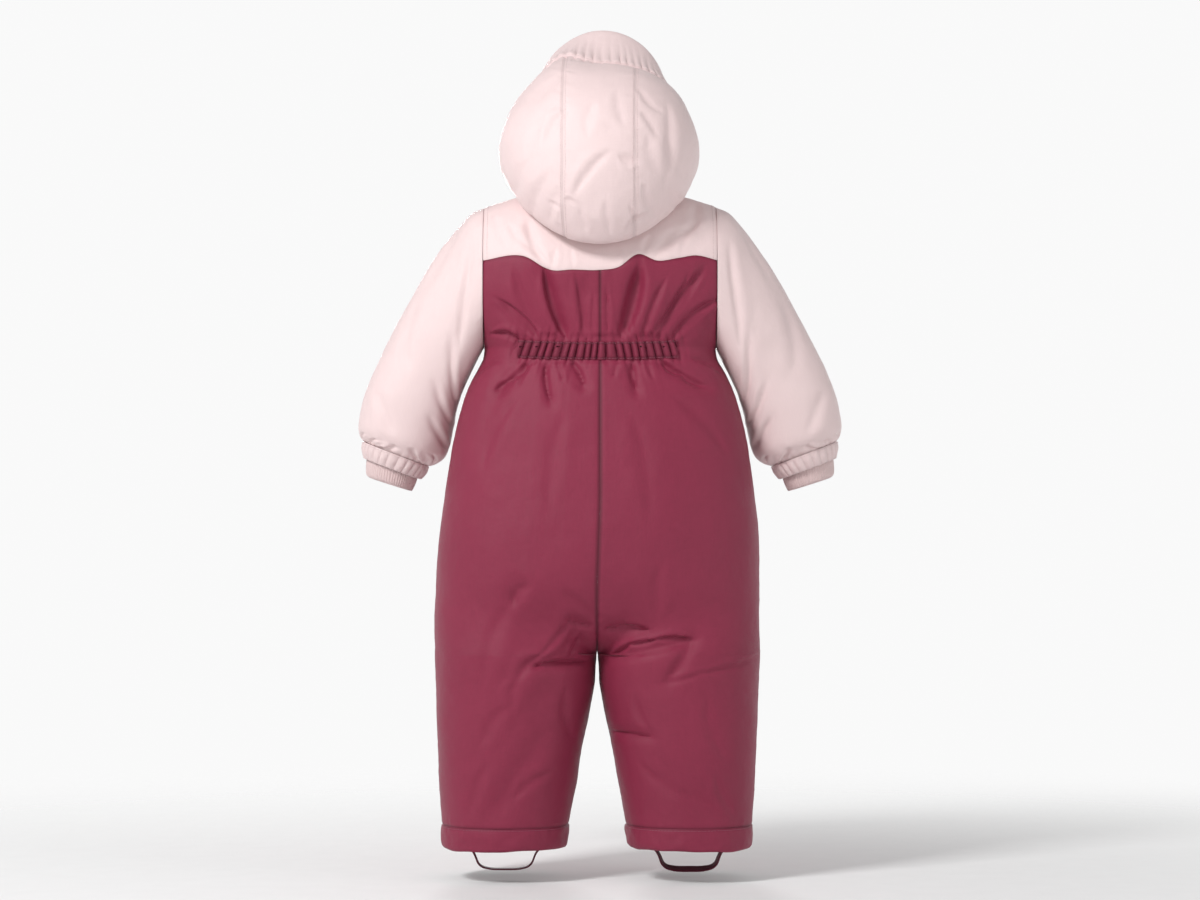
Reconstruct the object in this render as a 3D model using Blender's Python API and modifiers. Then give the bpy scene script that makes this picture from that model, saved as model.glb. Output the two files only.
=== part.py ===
"""A baby's one-piece snowsuit with a hood, worn shape, hollow, in sewn cloth panels.

Metres, +Z up. -Y is the wearer's front, +X the wearer's left. The origin lies between the shoulders.
The tables are in millimetres, as a cutter writes them.
"""

import math

import bmesh
import bpy
import numpy as np

MM = 0.001
# A share of a turn that keeps a point on its own side of a seam's plane.
JUST_OFF = 1e-6

# Cloth and seams, in millimetres.
SHELL_WALL = 2.6
KNIT_WALL = 2.2
CASING_WALL = 2.0
STRAP_WALL = 1.8
SEAM_GAP = 0.3

# Shoulders, neck and armholes, in millimetres.
ARMHOLE_X = 122.0
ARMHOLE_TOP = -8.0
ARMHOLE_MIDDLE = -82.0
ARMHOLE_BOTTOM = -156.0
ARMHOLE_HALF_DEPTH = 58.0
SHOULDER_RISE = 26.0
SHOULDER_CURVE = 1.6
SHOULDER_ROUND = 72.0
RISE_START = -60.0
NECK_HALF_WIDTH = 57.0
NECK_BACK = 48.0
NECK_FRONT = -60.0

# Leg and seat landmarks, in millimetres.
FORK_START = -372.0
CROTCH = -475.0
FORK_WIDTH = 0.3
FORK_DELAY = 0.25
HEM_STITCH = -654.0
HEM_END = -678.0
LOWER_SWAY = 3.0
SWAY_START = -300.0
SWAY_END = -420.0

# Waist casing on the back, in millimetres.
CASING_LEFT = 86.0
CASING_RIGHT = -80.0
CASING_TOP = -148.0
CASING_HEIGHT = 19.5
CASING_DIP = 2.4
CASING_LIFT = 0.6
CASING_BOW = 2.4
CASING_PUCKERS = 20
CASING_PUCKER_COLUMNS = 3
CASING_PUCKER_DEPTH = 2.2
CASING_FADE = 8.0
CASING_END_FADE = 14.0

# Sleeve ends.
SLEEVE_PUCKERS = 26
SLEEVE_PUCKER_DEPTH = 1.8

# Hood.
STRIP_HALF_WIDTH = 37.0
STRIP_NECK_TAPER = 4.0
HOOD_LAST = 10
HOOD_CORNER = 1 / 3
HOOD_GATHER = 9
HOOD_PUCKERS = 26
HOOD_PUCKER_DEPTH = 1.6

# Front zip, in millimetres.
TAPE_HALF_WIDTH = 7.0
CHAIN_HALF_WIDTH = 2.6
CHAIN_SLOPE = 0.5
CHAIN_RISE = 1.6
ZIP_END = -330.0
ZIP_CLOSING = 8.0

# Zip slider and its pull tab, in millimetres.
SLIDER_SIZE = (9.4, 4.4, 11.0)
SLIDER_CHANNEL = (6.4, 2.0)
SLIDER_ROUNDING = 0.8
LUG_SIZE = (1.0, 4.6, 4.4)
LUG_UP = 2.6
LUG_SINK = 1.2
PIN_RADIUS = 0.6
PIN_SINK = 0.9
EYE_HOLE = 0.95
EYE_RADIUS = 1.7
EYE_WIDTH = 3.2
EYE_PLAY = 0.35
TAB_SIZE = (5.6, 1.4, 26.0)
TAB_NECK = 4.0

# Foot straps.
STRAP_WIDTH = 11.0
STRAP_LOW = -702.0
STRAP_TOP = -659.0
STRAP_TURN = -668.0
STRAP_SIDE = -681.0
STRAP_TWISTS = {"left": 0, "right": 25}

# Rows and columns of the grids. Rows are levels down the body.
BACK_LEVELS = [-88, -104, -120, -134, -145, -152, -159, -166, -172, -184, -200, -222, -255, -300, -345]
FRONT_LEVELS = [-95, -120, -138, -150, -160, -172, -190, -215, -255, -300, ZIP_END - 1, ZIP_END - 8, -352]
LEG_LEVELS = [-484, -498, -516, -540, -570, -606, -640]
FORK_ROWS = 6
BACK_COLUMNS = 17
BACK_CROWDING = 1.12
FRONT_COLUMNS = 10
SLEEVE_RINGS = [0, 0.5, 1.1, 1.9, 2.9, 3.9, 4.9, 5.9, 6.8, 7.6, 8.3, 8.98]
SLEEVE_COLUMNS = 18
CUFF_RINGS = [0, 1, 2, 2.6, 3]
CUFF_COLUMNS = 16
HOOD_RINGS = [0, 0.5, 1, 1.5, 2, 2.5, 3, 3.6, 4.3, 5, 5.8, 6.6, 7.4, 8.2, HOOD_GATHER]
STRIP_COLUMNS = 7
HOOD_COLUMNS = 12
HEM_COLUMNS = 24

BURGUNDY = (0.30, 0.055, 0.10, 1.0)
PINK = (0.88, 0.76, 0.76, 1.0)
KNIT_PINK = (0.90, 0.76, 0.75, 1.0)
ZIP_PINK = (0.80, 0.60, 0.62, 1.0)
ENAMEL = (0.78, 0.56, 0.60, 1.0)


class Table:
    """Rows with named columns, read between the rows along a smooth curve. The first column is the key."""

    def __init__(self, names, rows):
        self.names = names.split()
        self.rows = np.array(sorted(rows), float)

    def read(self, name, key):
        keys = self.rows[:, 0]
        values = self.rows[:, self.names.index(name)]
        slopes = np.gradient(values, keys)
        key = np.clip(key, keys[0], keys[-1])
        i = np.clip(np.searchsorted(keys, key) - 1, 0, len(keys) - 2)
        step = keys[i + 1] - keys[i]
        t = (key - keys[i]) / step
        start = (1 + 2 * t) * (1 - t) ** 2 * values[i] + t * (1 - t) ** 2 * step * slopes[i]
        end = t * t * (3 - 2 * t) * values[i + 1] + t * t * (t - 1) * step * slopes[i + 1]
        return start + end


# The body as one tube, level by level: half width, reach of the back and of the front.
BODY = Table(
    "level half_width back front",
    [
        (0, 122, 80, 74),
        (-80, 122, 80, 76),
        (-120, 122, 77, 79),
        (-157, 121.5, 73, 82),
        (-168, 123.5, 74, 83),
        (-178, 129, 76, 84),
        (-199, 139, 82, 86),
        (-231, 149, 89, 88),
        (-273, 157.5, 96, 90),
        (-315, 163, 101, 91),
        (-357, 167.5, 104, 90),
        (-420, 170, 102, 86),
        (-475, 170.5, 98, 82),
    ],
)
# Each leg as a tube: where its inner and outer sides stand, and its reach to the back and front.
LEG = Table(
    "level inner outer back front",
    [
        (-330, 0, 168, 100, -88),
        (-440, 0, 170, 90, -81),
        (-475, 0.6, 170.5, 86, -78),
        (-500, 2.2, 170, 83, -76),
        (-525, 6, 169, 80, -74),
        (-567, 14, 167.5, 76, -70),
        (-609, 21.5, 165.5, 73, -67),
        (-651, 29, 163, 70, -64),
        (-678, 32, 162, 69, -63),
    ],
)
BODY_SQUARENESS = 2.4
LEG_SQUARENESS = 2.2

# The seam between yoke and body panels, across the back, from the wearer's right to the left.
YOKE_SEAM = Table(
    "x level",
    [
        (-123, -66),
        (-99, -61),
        (-81, -64),
        (-59, -67),
        (-39, -60.5),
        (-19, -74),
        (0, -77),
        (29, -76.6),
        (51, -77),
        (78, -62.5),
        (123, -66),
    ],
)
FRONT_SEAM_LEVEL = -70.0

# The sleeve as slanting rings, from the armhole to the top of its casing. Outer is the side away from
# the body, inner the underarm side.
SLEEVE = Table(
    "ring outer_x outer_z inner_x inner_z middle_y half_depth",
    [
        (0, 122, -8, 122, -156, 0, 58),
        (1, 138, -16, 131, -173, -4, 57),
        (2, 160, -43, 140, -191, -9, 55),
        (3, 185, -79, 147, -207, -15, 53),
        (4, 209, -121, 151.5, -222, -21, 51),
        (5, 231, -162, 154.5, -237, -26, 50),
        (6, 247, -198, 157.5, -251, -30, 49),
        (7, 255.5, -232, 163, -267, -33, 47),
        (8, 255, -245, 171, -275, -35, 42),
        (9, 251, -253, 181.5, -279.5, -36, 37),
    ],
)
SLEEVE_CASING = Table(
    "ring outer_x outer_z inner_x inner_z middle_y half_depth",
    [
        (0, 251, -253, 181.5, -279.5, -36, 37),
        (1, 250.5, -262, 186, -286.5, -36.5, 34),
        (2, 249.5, -271.5, 190.5, -293.5, -37, 31),
    ],
)
CUFF = Table(
    "ring outer_x outer_z inner_x inner_z middle_y half_depth",
    [
        (0, 246.2, -266.2, 192.4, -286.4, -36.8, 28.0),
        (1, 247.8, -276.8, 194.7, -296.2, -37.4, 28.0),
        (2, 247.6, -287.5, 198.0, -303.5, -38, 26.6),
        (3, 244.6, -291.6, 199.6, -306.0, -38.3, 24.6),
    ],
)
RING_SQUARENESS = 2.15

# The hood as rings that turn from the neck seam, flat, to the face opening, upright. Outer is the ring's
# point at the back or top, chin its point at the front, lift raises its sides.
HOOD = Table(
    "ring outer_y outer_z chin_y chin_z half_width lift sway corner",
    [
        (0, 48, 4, -60, -14, 57, 23, 0, 0),
        (1, 74, -16, -62, -8, 76, 27, 0, 0),
        (2, 92, -51, -64, -3, 91, 38, 0.5, 0),
        (3, 112, -30, -66, 2, 98, 34, 1, 0),
        (4, 124, 8, -67, 7, 103.5, 27, 1, 0),
        (5, 125, 48, -68, 11, 104.5, 24, 1, 0),
        (6, 112, 88, -69, 15, 100.5, 18, 1, 0),
        (7, 84, 120, -70, 18.5, 94, 14, 0.5, 2),
        (8, 50, 137, -71, 21.5, 88.5, 10, 0, 7),
        (9, 20, 142, -72.5, 25, 83, 7, -1, 13),
        (10, -28, 181.5, -77, 40, 69, 0, -3, 0),
    ],
)

# Large folds of the back, each a straight run from one place to another. Depth is how far the cloth
# moves in (below zero) or out.
# x0 z0 x1 z1 width depth
BACK_FOLDS = [
    (57, -76, 35, -146, 7, -5),
    (105, -113, 66, -148, 6, -4),
    (-42, -80, -27, -146, 9, -5),
    (-115, -75, -71, -140, 7, -4.5),
    (-122, -114, -82, -146, 6, -3.5),
    (16, -90, 12, -146, 6, -2.5),
    (56, -170, 50, -215, 6, -4),
    (30, -170, 16, -200, 6, -3.5),
    (-33, -170, -38, -205, 6, -3.5),
    (-60, -168, -112, -198, 7, -4.5),
    (76, -170, 108, -202, 7, -4.5),
    (100, -190, 128, -262, 10, -3),
    (72, -484, 14, -480, 7, -4),
    (34, -436, 8, -444, 7, -3),
    (78, -396, 92, -420, 12, -3),
    (34, -436, 92, -528, 14, 3.5),
    (-8, -445, -50, -449, 6, -3.5),
    (-14, -476, -94, -458, 7, -6),
    (-94, -458, -66, -504, 10, -3),
    (-14, -556, -54, -558, 6, -3),
    (60, -560, 110, -640, 12, -3),
    (-60, -590, -120, -640, 12, -3),
]
# x0 z0 x1 z1 width depth
FRONT_FOLDS = [
    (50, -390, 96, -440, 12, -4),
    (-50, -390, -96, -440, 12, -4),
    (30, -500, 110, -520, 10, -4),
    (-30, -505, -110, -522, 10, -4),
    (110, -190, 60, -250, 14, -3),
    (-110, -190, -60, -250, 14, -3),
]
FOLD_OVERRUN = 0.25
FOLD_SIDE_FADE = 0.35
FOLD_SEAM_FADE = 9.0


def smooth_step(start, end, value):
    t = np.clip((value - start) / (end - start), 0, 1)
    return t * t * (3 - 2 * t)


def power(value, squareness):
    """A sine or cosine bent so that a round section gets fuller corners."""
    return np.sign(value) * np.abs(value) ** (2 / squareness)


def shoulder_rise(x):
    """How far the shoulder line and neck stand above the armhole's top, which lies further out."""
    return SHOULDER_RISE * (1 - np.clip(np.abs(x) / ARMHOLE_X, 0, 1) ** SHOULDER_CURVE)


def shoulder_round(level):
    """1 on the chest and back, falling to 0 in a quarter circle at the shoulder seam."""
    below = np.clip((ARMHOLE_TOP - level) / SHOULDER_ROUND, 0, 1)
    return np.sqrt(np.clip(1 - (1 - below) ** 2, 0, 1))


def half_section(turn, level, reach):
    """A quarter of the body's section. turn is 0 at the centre seam and 1 at the side or armhole."""
    upper = level > ARMHOLE_BOTTOM
    drop = np.clip((ARMHOLE_MIDDLE - level) / (ARMHOLE_MIDDLE - ARMHOLE_BOTTOM), 0, 1)
    armhole = ARMHOLE_HALF_DEPTH * np.sqrt(np.clip(1 - drop ** 2, 0, 1)) / reach
    armhole = np.where(upper, armhole, 0)
    edge = (1 - armhole ** BODY_SQUARENESS) ** (1 / BODY_SQUARENESS)
    half_width = np.where(upper, (ARMHOLE_X - SEAM_GAP) / edge, BODY.read("half_width", level))
    angle = turn * np.arcsin(edge ** (BODY_SQUARENESS / 2))
    depth = reach * shoulder_round(level)
    return half_width * power(np.sin(angle), BODY_SQUARENESS), depth * power(np.cos(angle), BODY_SQUARENESS)


def lower_sway(level):
    """How far the centre seams wander to the wearer's left below the waist."""
    return LOWER_SWAY * smooth_step(SWAY_START, SWAY_END, level)


def bare_body(side, at_back, turn, level):
    """A quarter of the body and leg without folds. turn runs from 0, centre back, to 1, the side seam or
    armhole, and on to 2, centre front. side is 1 on the wearer's left and -1 on the right."""
    back_x, back_y = half_section(turn, level, BODY.read("back", level))
    front_x, front_y = half_section(2 - turn, level, BODY.read("front", level))
    x = np.where(at_back, back_x, front_x)
    y = np.where(at_back, back_y, -front_y)
    inner, outer = np.maximum(LEG.read("inner", level), 0), LEG.read("outer", level)
    back, front = LEG.read("back", level), LEG.read("front", level)
    angle = math.pi * (1 - turn)
    leg_x = (inner + outer) / 2 + (outer - inner) / 2 * power(np.cos(angle), LEG_SQUARENESS)
    leg_y = (back + front) / 2 + (back - front) / 2 * power(np.sin(angle), LEG_SQUARENESS)
    # At the centre seams the cloth turns under in a quarter circle. Further out it starts to turn lower
    # down and runs on smoothly into the leg, so that a valley lies between two rounded halves.
    fork = np.clip((FORK_START - level) / (FORK_START - CROTCH), 0, 1)
    away = smooth_step(0, FORK_WIDTH, 1 - np.abs(1 - turn))
    late = np.clip((fork - FORK_DELAY * away) / (1 - FORK_DELAY * away), 0, 1)
    share = 1 - (1 - late ** 2) ** (0.5 + away)
    x = (1 - share) * x + share * leg_x
    y = (1 - share) * y + share * leg_y
    rise = shoulder_rise(x) * smooth_step(RISE_START, ARMHOLE_TOP, level)
    return np.stack([side * x + lower_sway(level), y, level + rise], axis=-1)


def outward(surface, u, v):
    """Directions square to a surface whose u runs round from the back by the left side and v runs down."""
    step_u, step_v = 1e-3, 0.05
    along_u = surface(u + step_u, v) - surface(u - step_u, v)
    along_v = surface(u, v + step_v) - surface(u, v - step_v)
    across = np.cross(along_v, along_u)
    return across / np.maximum(np.linalg.norm(across, axis=-1, keepdims=True), 1e-12)


def fold_depth(point, folds):
    """How far the folds move the cloth out at each point, from its x and z."""
    total = np.zeros(point.shape[:-1])
    for x0, z0, x1, z1, width, depth in folds:
        run = np.array([x1 - x0, z1 - z0])
        length = np.hypot(*run)
        place = point[..., [0, 2]] - np.array([x0, z0])
        along = place @ run / length ** 2
        beside = (place[..., 0] * run[1] - place[..., 1] * run[0]) / length
        ends = smooth_step(-FOLD_OVERRUN, 0.2, along) * smooth_step(1 + FOLD_OVERRUN, 0.8, along)
        total += depth * ends * np.exp(-((beside / width) ** 2))
    return total


def casing_mask(point):
    """1 where the waist casing lies, 0 away from it."""
    x, z = point[..., 0], point[..., 2]
    low = CASING_TOP - CASING_HEIGHT
    rows = smooth_step(CASING_TOP + CASING_FADE, CASING_TOP + 1, z)
    rows = rows * smooth_step(low - CASING_FADE, low - 1, z)
    left = smooth_step(CASING_LEFT + CASING_END_FADE, CASING_LEFT, x)
    right = smooth_step(CASING_RIGHT - CASING_END_FADE, CASING_RIGHT, x)
    return rows * left * right


def folded_body(side, at_back, turn, level):
    """A quarter of the body and leg with its folds."""
    point = bare_body(side, at_back, turn, level)
    out = side[..., None] * outward(lambda u, v: bare_body(side, at_back, u, v), turn, level)
    on_back = smooth_step(1, 1 - FOLD_SIDE_FADE, turn)
    on_front = smooth_step(1, 1 + FOLD_SIDE_FADE, turn)
    casing = casing_mask(point)
    depth = on_back * (1 - casing) * fold_depth(point, BACK_FOLDS)
    depth = depth + on_front * fold_depth(point, FRONT_FOLDS)
    depth = depth * smooth_step(0, FOLD_SEAM_FADE, np.abs(point[..., 0] - lower_sway(level)))
    depth = depth - on_back * casing * CASING_DIP
    return point + out * depth[..., None]


def body(turn, level):
    """The points of the folded body and their outward directions. A turn below zero goes round the
    wearer's right side."""
    side = np.where(turn < 0, -1.0, 1.0)
    turn = np.abs(turn)
    at_back = turn <= 1
    point = folded_body(side, at_back, turn, level)
    out = outward(lambda u, v: folded_body(side, at_back, u, v), turn, level)
    return point, side[..., None] * out


def neck_level(x, y):
    """Height of the shoulders' surface over a point of the neck seam."""
    reach = np.where(y > 0, BODY.read("back", ARMHOLE_TOP), BODY.read("front", ARMHOLE_TOP))
    armhole = (ARMHOLE_HALF_DEPTH / reach) ** BODY_SQUARENESS
    half_width = (ARMHOLE_X - SEAM_GAP) / (1 - armhole) ** (1 / BODY_SQUARENESS)
    section = (1 - np.abs(x / half_width) ** BODY_SQUARENESS) ** (1 / BODY_SQUARENESS)
    share = np.clip(np.abs(y) / (reach * section), 0, 0.999)
    below = 1 - np.sqrt(1 - share ** 2)
    level = ARMHOLE_TOP - SHOULDER_ROUND * below
    return level, level + shoulder_rise(x) * smooth_step(RISE_START, ARMHOLE_TOP, level)


def hood_points(turn, ring):
    """The hood. turn is 0 at the middle of the back, 1 and -1 at the middle of the chin."""
    angle = turn * math.pi
    half_width = HOOD.read("half_width", ring)
    outer_y, chin_y = HOOD.read("outer_y", ring), HOOD.read("chin_y", ring)
    outer_z, chin_z = HOOD.read("outer_z", ring), HOOD.read("chin_z", ring)
    x = half_width * np.sin(angle) + HOOD.read("sway", ring) * (1 + np.cos(angle)) / 2
    y = (outer_y + chin_y) / 2 + (outer_y - chin_y) / 2 * np.cos(angle)
    z = (outer_z + chin_z) / 2 + (outer_z - chin_z) / 2 * np.cos(angle)
    z = z + HOOD.read("lift", ring) * np.sin(angle) ** 2
    raised = np.where((turn > 0) & (turn < HOOD_CORNER), np.sin(turn / HOOD_CORNER * math.pi) ** 2, 0)
    z = z + HOOD.read("corner", ring) * raised
    _, neck = neck_level(x, y)
    z = z + smooth_step(1, 0, ring) * (neck + SEAM_GAP - z)
    return np.stack([x, y, z], axis=-1)


def hood(turn, ring):
    return hood_points(turn, ring), outward(hood_points, turn, ring)


def tube(table):
    """A sleeve or cuff surface from a table of slanting rings. turn is 0 outside and 0.5 under the arm."""

    def points(turn, ring):
        angle = turn * 2 * math.pi
        outer = np.stack([table.read("outer_x", ring), table.read("outer_z", ring)])
        inner = np.stack([table.read("inner_x", ring), table.read("inner_z", ring)])
        across = power(np.cos(angle), RING_SQUARENESS)
        place = (outer + inner) / 2 + (outer - inner) / 2 * across
        deep = table.read("half_depth", ring) * power(np.sin(angle), RING_SQUARENESS)
        y = table.read("middle_y", ring) + deep
        return np.stack([place[0], y, place[1]], axis=-1)

    return lambda turn, ring: (points(turn, ring), outward(points, turn, ring))


def material(name, colour, roughness, metallic=0.0):
    made = bpy.data.materials.new(name)
    made.use_nodes = True
    shader = made.node_tree.nodes["Principled BSDF"]
    shader.inputs["Base Color"].default_value = colour
    shader.inputs["Roughness"].default_value = roughness
    shader.inputs["Metallic"].default_value = metallic
    made.diffuse_color = colour
    return made


def add_object(name, mesh, finish, parts):
    piece = bpy.data.objects.new(name, mesh)
    parts.objects.link(piece)
    mesh.materials.append(finish)
    return piece


def wall(name, outer, inner, finish, parts, closed=False):
    """A closed cloth wall between two grids of points, rows by columns. closed joins its last column to
    its first, as on a tube."""
    rows, columns = outer.shape[:2]
    points = np.concatenate([outer.reshape(-1, 3), inner.reshape(-1, 3)]) * MM
    deep = rows * columns
    faces = []
    last = columns if closed else columns - 1
    for row in range(rows - 1):
        for column in range(last):
            a = row * columns + column
            b = row * columns + (column + 1) % columns
            faces.append((a, b, b + columns, a + columns))
            faces.append((deep + a, deep + a + columns, deep + b + columns, deep + b))
    for column in range(last):
        for row in (0, rows - 1):
            a = row * columns + column
            b = row * columns + (column + 1) % columns
            faces.append((b, a, deep + a, deep + b) if row == 0 else (a, b, deep + b, deep + a))
    if not closed:
        for row in range(rows - 1):
            for column in (0, columns - 1):
                a = row * columns + column
                b = a + columns
                faces.append((a, b, deep + b, deep + a) if column == 0 else (b, a, deep + a, deep + b))
    mesh = bpy.data.meshes.new(name)
    mesh.from_pydata([tuple(point) for point in points], [], faces)
    shaped = bmesh.new()
    shaped.from_mesh(mesh)
    bmesh.ops.recalc_face_normals(shaped, faces=shaped.faces)
    shaped.to_mesh(mesh)
    shaped.free()
    mesh.shade_smooth()
    mesh.set_sharp_from_angle(angle=math.radians(50))
    return add_object(name, mesh, finish, parts)


def panel(name, surface, turns, rows, finish, parts, thickness=SHELL_WALL, shift=(0, 0, 0), closed=False):
    """A wall over the part of a surface that two grids give, its turns and its rows."""
    outer, out = surface(turns, rows)
    shift = np.array(shift)
    return wall(name, outer + shift, outer - out * thickness + shift, finish, parts, closed)


def mirrored(points):
    return points * np.array([-1, 1, 1])


def spaced(start, end, count):
    return np.linspace(start, end, count)


def turn_at_x(x, level, reach_name):
    """The turn at which the body's section stands x from the middle."""
    reach = BODY.read(reach_name, level)
    low, high = np.zeros_like(level), np.ones_like(level)
    for _ in range(40):
        middle = (low + high) / 2
        found, _ = half_section(middle, level, reach)
        low, high = np.where(found < x, middle, low), np.where(found < x, high, middle)
    return (low + high) / 2


def fork_levels():
    """Levels that crowd together near the crotch, where its seam lies flat."""
    shares = np.sin(spaced(0, 1, FORK_ROWS + 1) * math.pi / 2)
    return list(FORK_START - (FORK_START - CROTCH) * shares)


def body_levels(top, levels):
    levels = levels + fork_levels() + LEG_LEVELS
    levels = np.array(levels + [HEM_STITCH + SEAM_GAP / 2])
    return np.concatenate([top[None, :], np.repeat(levels[:, None], len(top), axis=1)])


def back_columns():
    """Turns of the back panels' columns, and how far from the middle they meet the yoke seam."""
    across = spaced(0, 1, BACK_COLUMNS) ** BACK_CROWDING
    level = np.full(BACK_COLUMNS, FRONT_SEAM_LEVEL)
    xs, _ = half_section(across, level, BODY.read("back", level))
    return across, xs


def make_back(side, name, finish, parts):
    across, xs = back_columns()
    top = YOKE_SEAM.read("level", side * xs) - SEAM_GAP / 2
    levels = body_levels(top, BACK_LEVELS)
    turns = np.repeat(across[None, :], len(levels), axis=0)
    turns[0] = turn_at_x(xs, top, "back")
    turns = side * np.maximum(turns, JUST_OFF)
    shift = (side * SEAM_GAP / 2, SEAM_GAP / 2, 0)
    panel(name, body, turns, levels, finish, parts, shift=shift)


def make_front(side, name, finish, parts):
    across = spaced(0, 1 - JUST_OFF, FRONT_COLUMNS)
    top = np.full(len(across), FRONT_SEAM_LEVEL - SEAM_GAP / 2)
    levels = body_levels(top, FRONT_LEVELS)
    edge = TAPE_HALF_WIDTH * smooth_step(ZIP_END - ZIP_CLOSING, ZIP_END - 1, levels[:, 0])
    start = np.maximum(turn_at_x(edge, levels[:, 0], "front"), JUST_OFF)
    turns = start[:, None] + (1 - start[:, None]) * across[None, :]
    turns = side * (2 - turns)
    shift = (side * SEAM_GAP / 2, -SEAM_GAP / 2, 0)
    panel(name, body, turns, levels, finish, parts, shift=shift)


def yoke_grid(xs, seam_xs, seam, reach_name, rows):
    """Turns and levels of a yoke: its columns run from xs at the neck or the shoulder seam down to seam_xs
    at its lower seam."""
    sign = 1 if reach_name == "back" else -1
    neck_middle = (NECK_BACK + NECK_FRONT) / 2
    half_length = (NECK_BACK - NECK_FRONT) / 2
    share = np.clip(1 - (xs / NECK_HALF_WIDTH) ** 2, 0, 1)
    neck_y = neck_middle + sign * half_length * np.sqrt(share)
    in_neck = (np.abs(xs) < NECK_HALF_WIDTH) & (neck_y * sign > 0)
    neck_top, _ = neck_level(xs, np.where(in_neck, neck_y, 0.0))
    top = np.where(in_neck, neck_top, ARMHOLE_TOP)
    down = (1 - np.cos(spaced(0, 1, rows) * math.pi / 2))[:, None]
    levels = top[None, :] + (seam - top)[None, :] * down
    share = down ** 0.5
    between = np.abs(xs)[None, :] * (1 - share) + np.abs(seam_xs)[None, :] * share
    turns = turn_at_x(between, levels, reach_name)
    return turns, levels


def neck_crossing():
    """Where the neck seam crosses the shoulder seam, from the middle."""
    middle = (NECK_BACK + NECK_FRONT) / 2
    half_length = (NECK_BACK - NECK_FRONT) / 2
    return NECK_HALF_WIDTH * math.sqrt(1 - (middle / half_length) ** 2)


def make_yokes(finish, parts):
    edge = ARMHOLE_X - SEAM_GAP
    cross = neck_crossing()
    _, seam_xs = back_columns()
    neck_count = int(np.sum(seam_xs < cross))
    neck_xs = cross * np.sin(spaced(0, 1, neck_count) * math.pi / 2)
    outer_xs = spaced(cross, edge, BACK_COLUMNS - neck_count + 1)[1:]
    half = np.concatenate([neck_xs, outer_xs])
    xs = np.concatenate([-half[:0:-1], half])
    seam_xs = np.concatenate([-seam_xs[:0:-1], seam_xs])
    # The seam slopes, so its gap is wider when measured straight up.
    seam = YOKE_SEAM.read("level", seam_xs) + SEAM_GAP
    turns, levels = yoke_grid(xs, seam_xs, seam, "back", 7)
    signed = np.where(xs[None, :] < 0, -1, 1) * np.maximum(turns, JUST_OFF)
    panel("yoke_back", body, signed, levels, finish, parts, shift=(0, SEAM_GAP / 2, 0))
    start = TAPE_HALF_WIDTH + SEAM_GAP
    neck_xs = start + (cross - start) * np.sin(spaced(0, 1, 7) * math.pi / 2)
    front = np.concatenate([neck_xs, spaced(cross, edge, 5)[1:]])
    seam = np.full(len(front), FRONT_SEAM_LEVEL + SEAM_GAP / 2)
    turns, levels = yoke_grid(front, front, seam, "front", 6)
    for side, name in ((1, "yoke_front_left"), (-1, "yoke_front_right")):
        panel(name, body, side * (2 - turns), levels, finish, parts, shift=(0, -SEAM_GAP / 2, 0))


def make_waist_casing(finish, parts):
    """A strip on the back panels' own points, moved out, whose outer face is puckered by its elastic."""
    columns = CASING_PUCKERS * CASING_PUCKER_COLUMNS + 1
    xs = spaced(CASING_RIGHT, CASING_LEFT, columns)
    bow = CASING_BOW * (1 - (xs / CASING_LEFT) ** 2)
    rows = spaced(0, 1, 3)[:, None]
    levels = CASING_TOP - 1 - bow[None, :] - rows * (CASING_HEIGHT - 2)
    turns = turn_at_x(np.abs(xs)[None, :] + 0 * levels, levels, "back")
    turns = np.where(xs[None, :] < 0, -1, 1) * np.maximum(turns, JUST_OFF)
    base, out = body(turns, levels)
    wave = 0.5 - 0.5 * np.cos(2 * math.pi * np.arange(columns) / CASING_PUCKER_COLUMNS)
    lean = 0.6 + 0.4 * np.sin(rows * math.pi)
    height = CASING_LIFT + CASING_WALL - CASING_PUCKER_DEPTH / 2 + CASING_PUCKER_DEPTH * wave[None, :] * lean
    shift = np.array([0, SEAM_GAP / 2, 0])
    outer = base + out * height[..., None] + shift
    wall("waist_casing", outer, base + out * CASING_LIFT + shift, finish, parts)


def flat_ends(points, out):
    """The wall's directions, with those of the first and last ring laid in the ring's own plane."""
    for row in (0, -1):
        ring = points[row]
        middle = ring.mean(axis=0)
        axis = np.linalg.svd(ring - middle)[2][2]
        flat = out[row] - (out[row] @ axis)[:, None] * axis
        out[row] = flat / np.linalg.norm(flat, axis=-1, keepdims=True)
    return out


def make_tube(name, surface, rings, columns, side, finish, parts, thickness, wave=None, start_shift=0.0):
    """A sleeve, casing or cuff. wave gives how far its outer face stands out at each ring and column."""
    turns = spaced(0, 1, columns + 1)[:-1]
    turns, grid = np.meshgrid(turns, rings)
    base, out = surface(turns, grid)
    out = flat_ends(base, out)
    outer = base if wave is None else base + out * wave(turns, grid)[..., None]
    inner = base - out * thickness
    shift = np.array([start_shift, 0, 0])
    outer, inner = outer + shift, inner + shift
    if side < 0:
        outer, inner = mirrored(outer), mirrored(inner)
    wall(name, outer, inner, finish, parts, closed=True)


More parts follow.
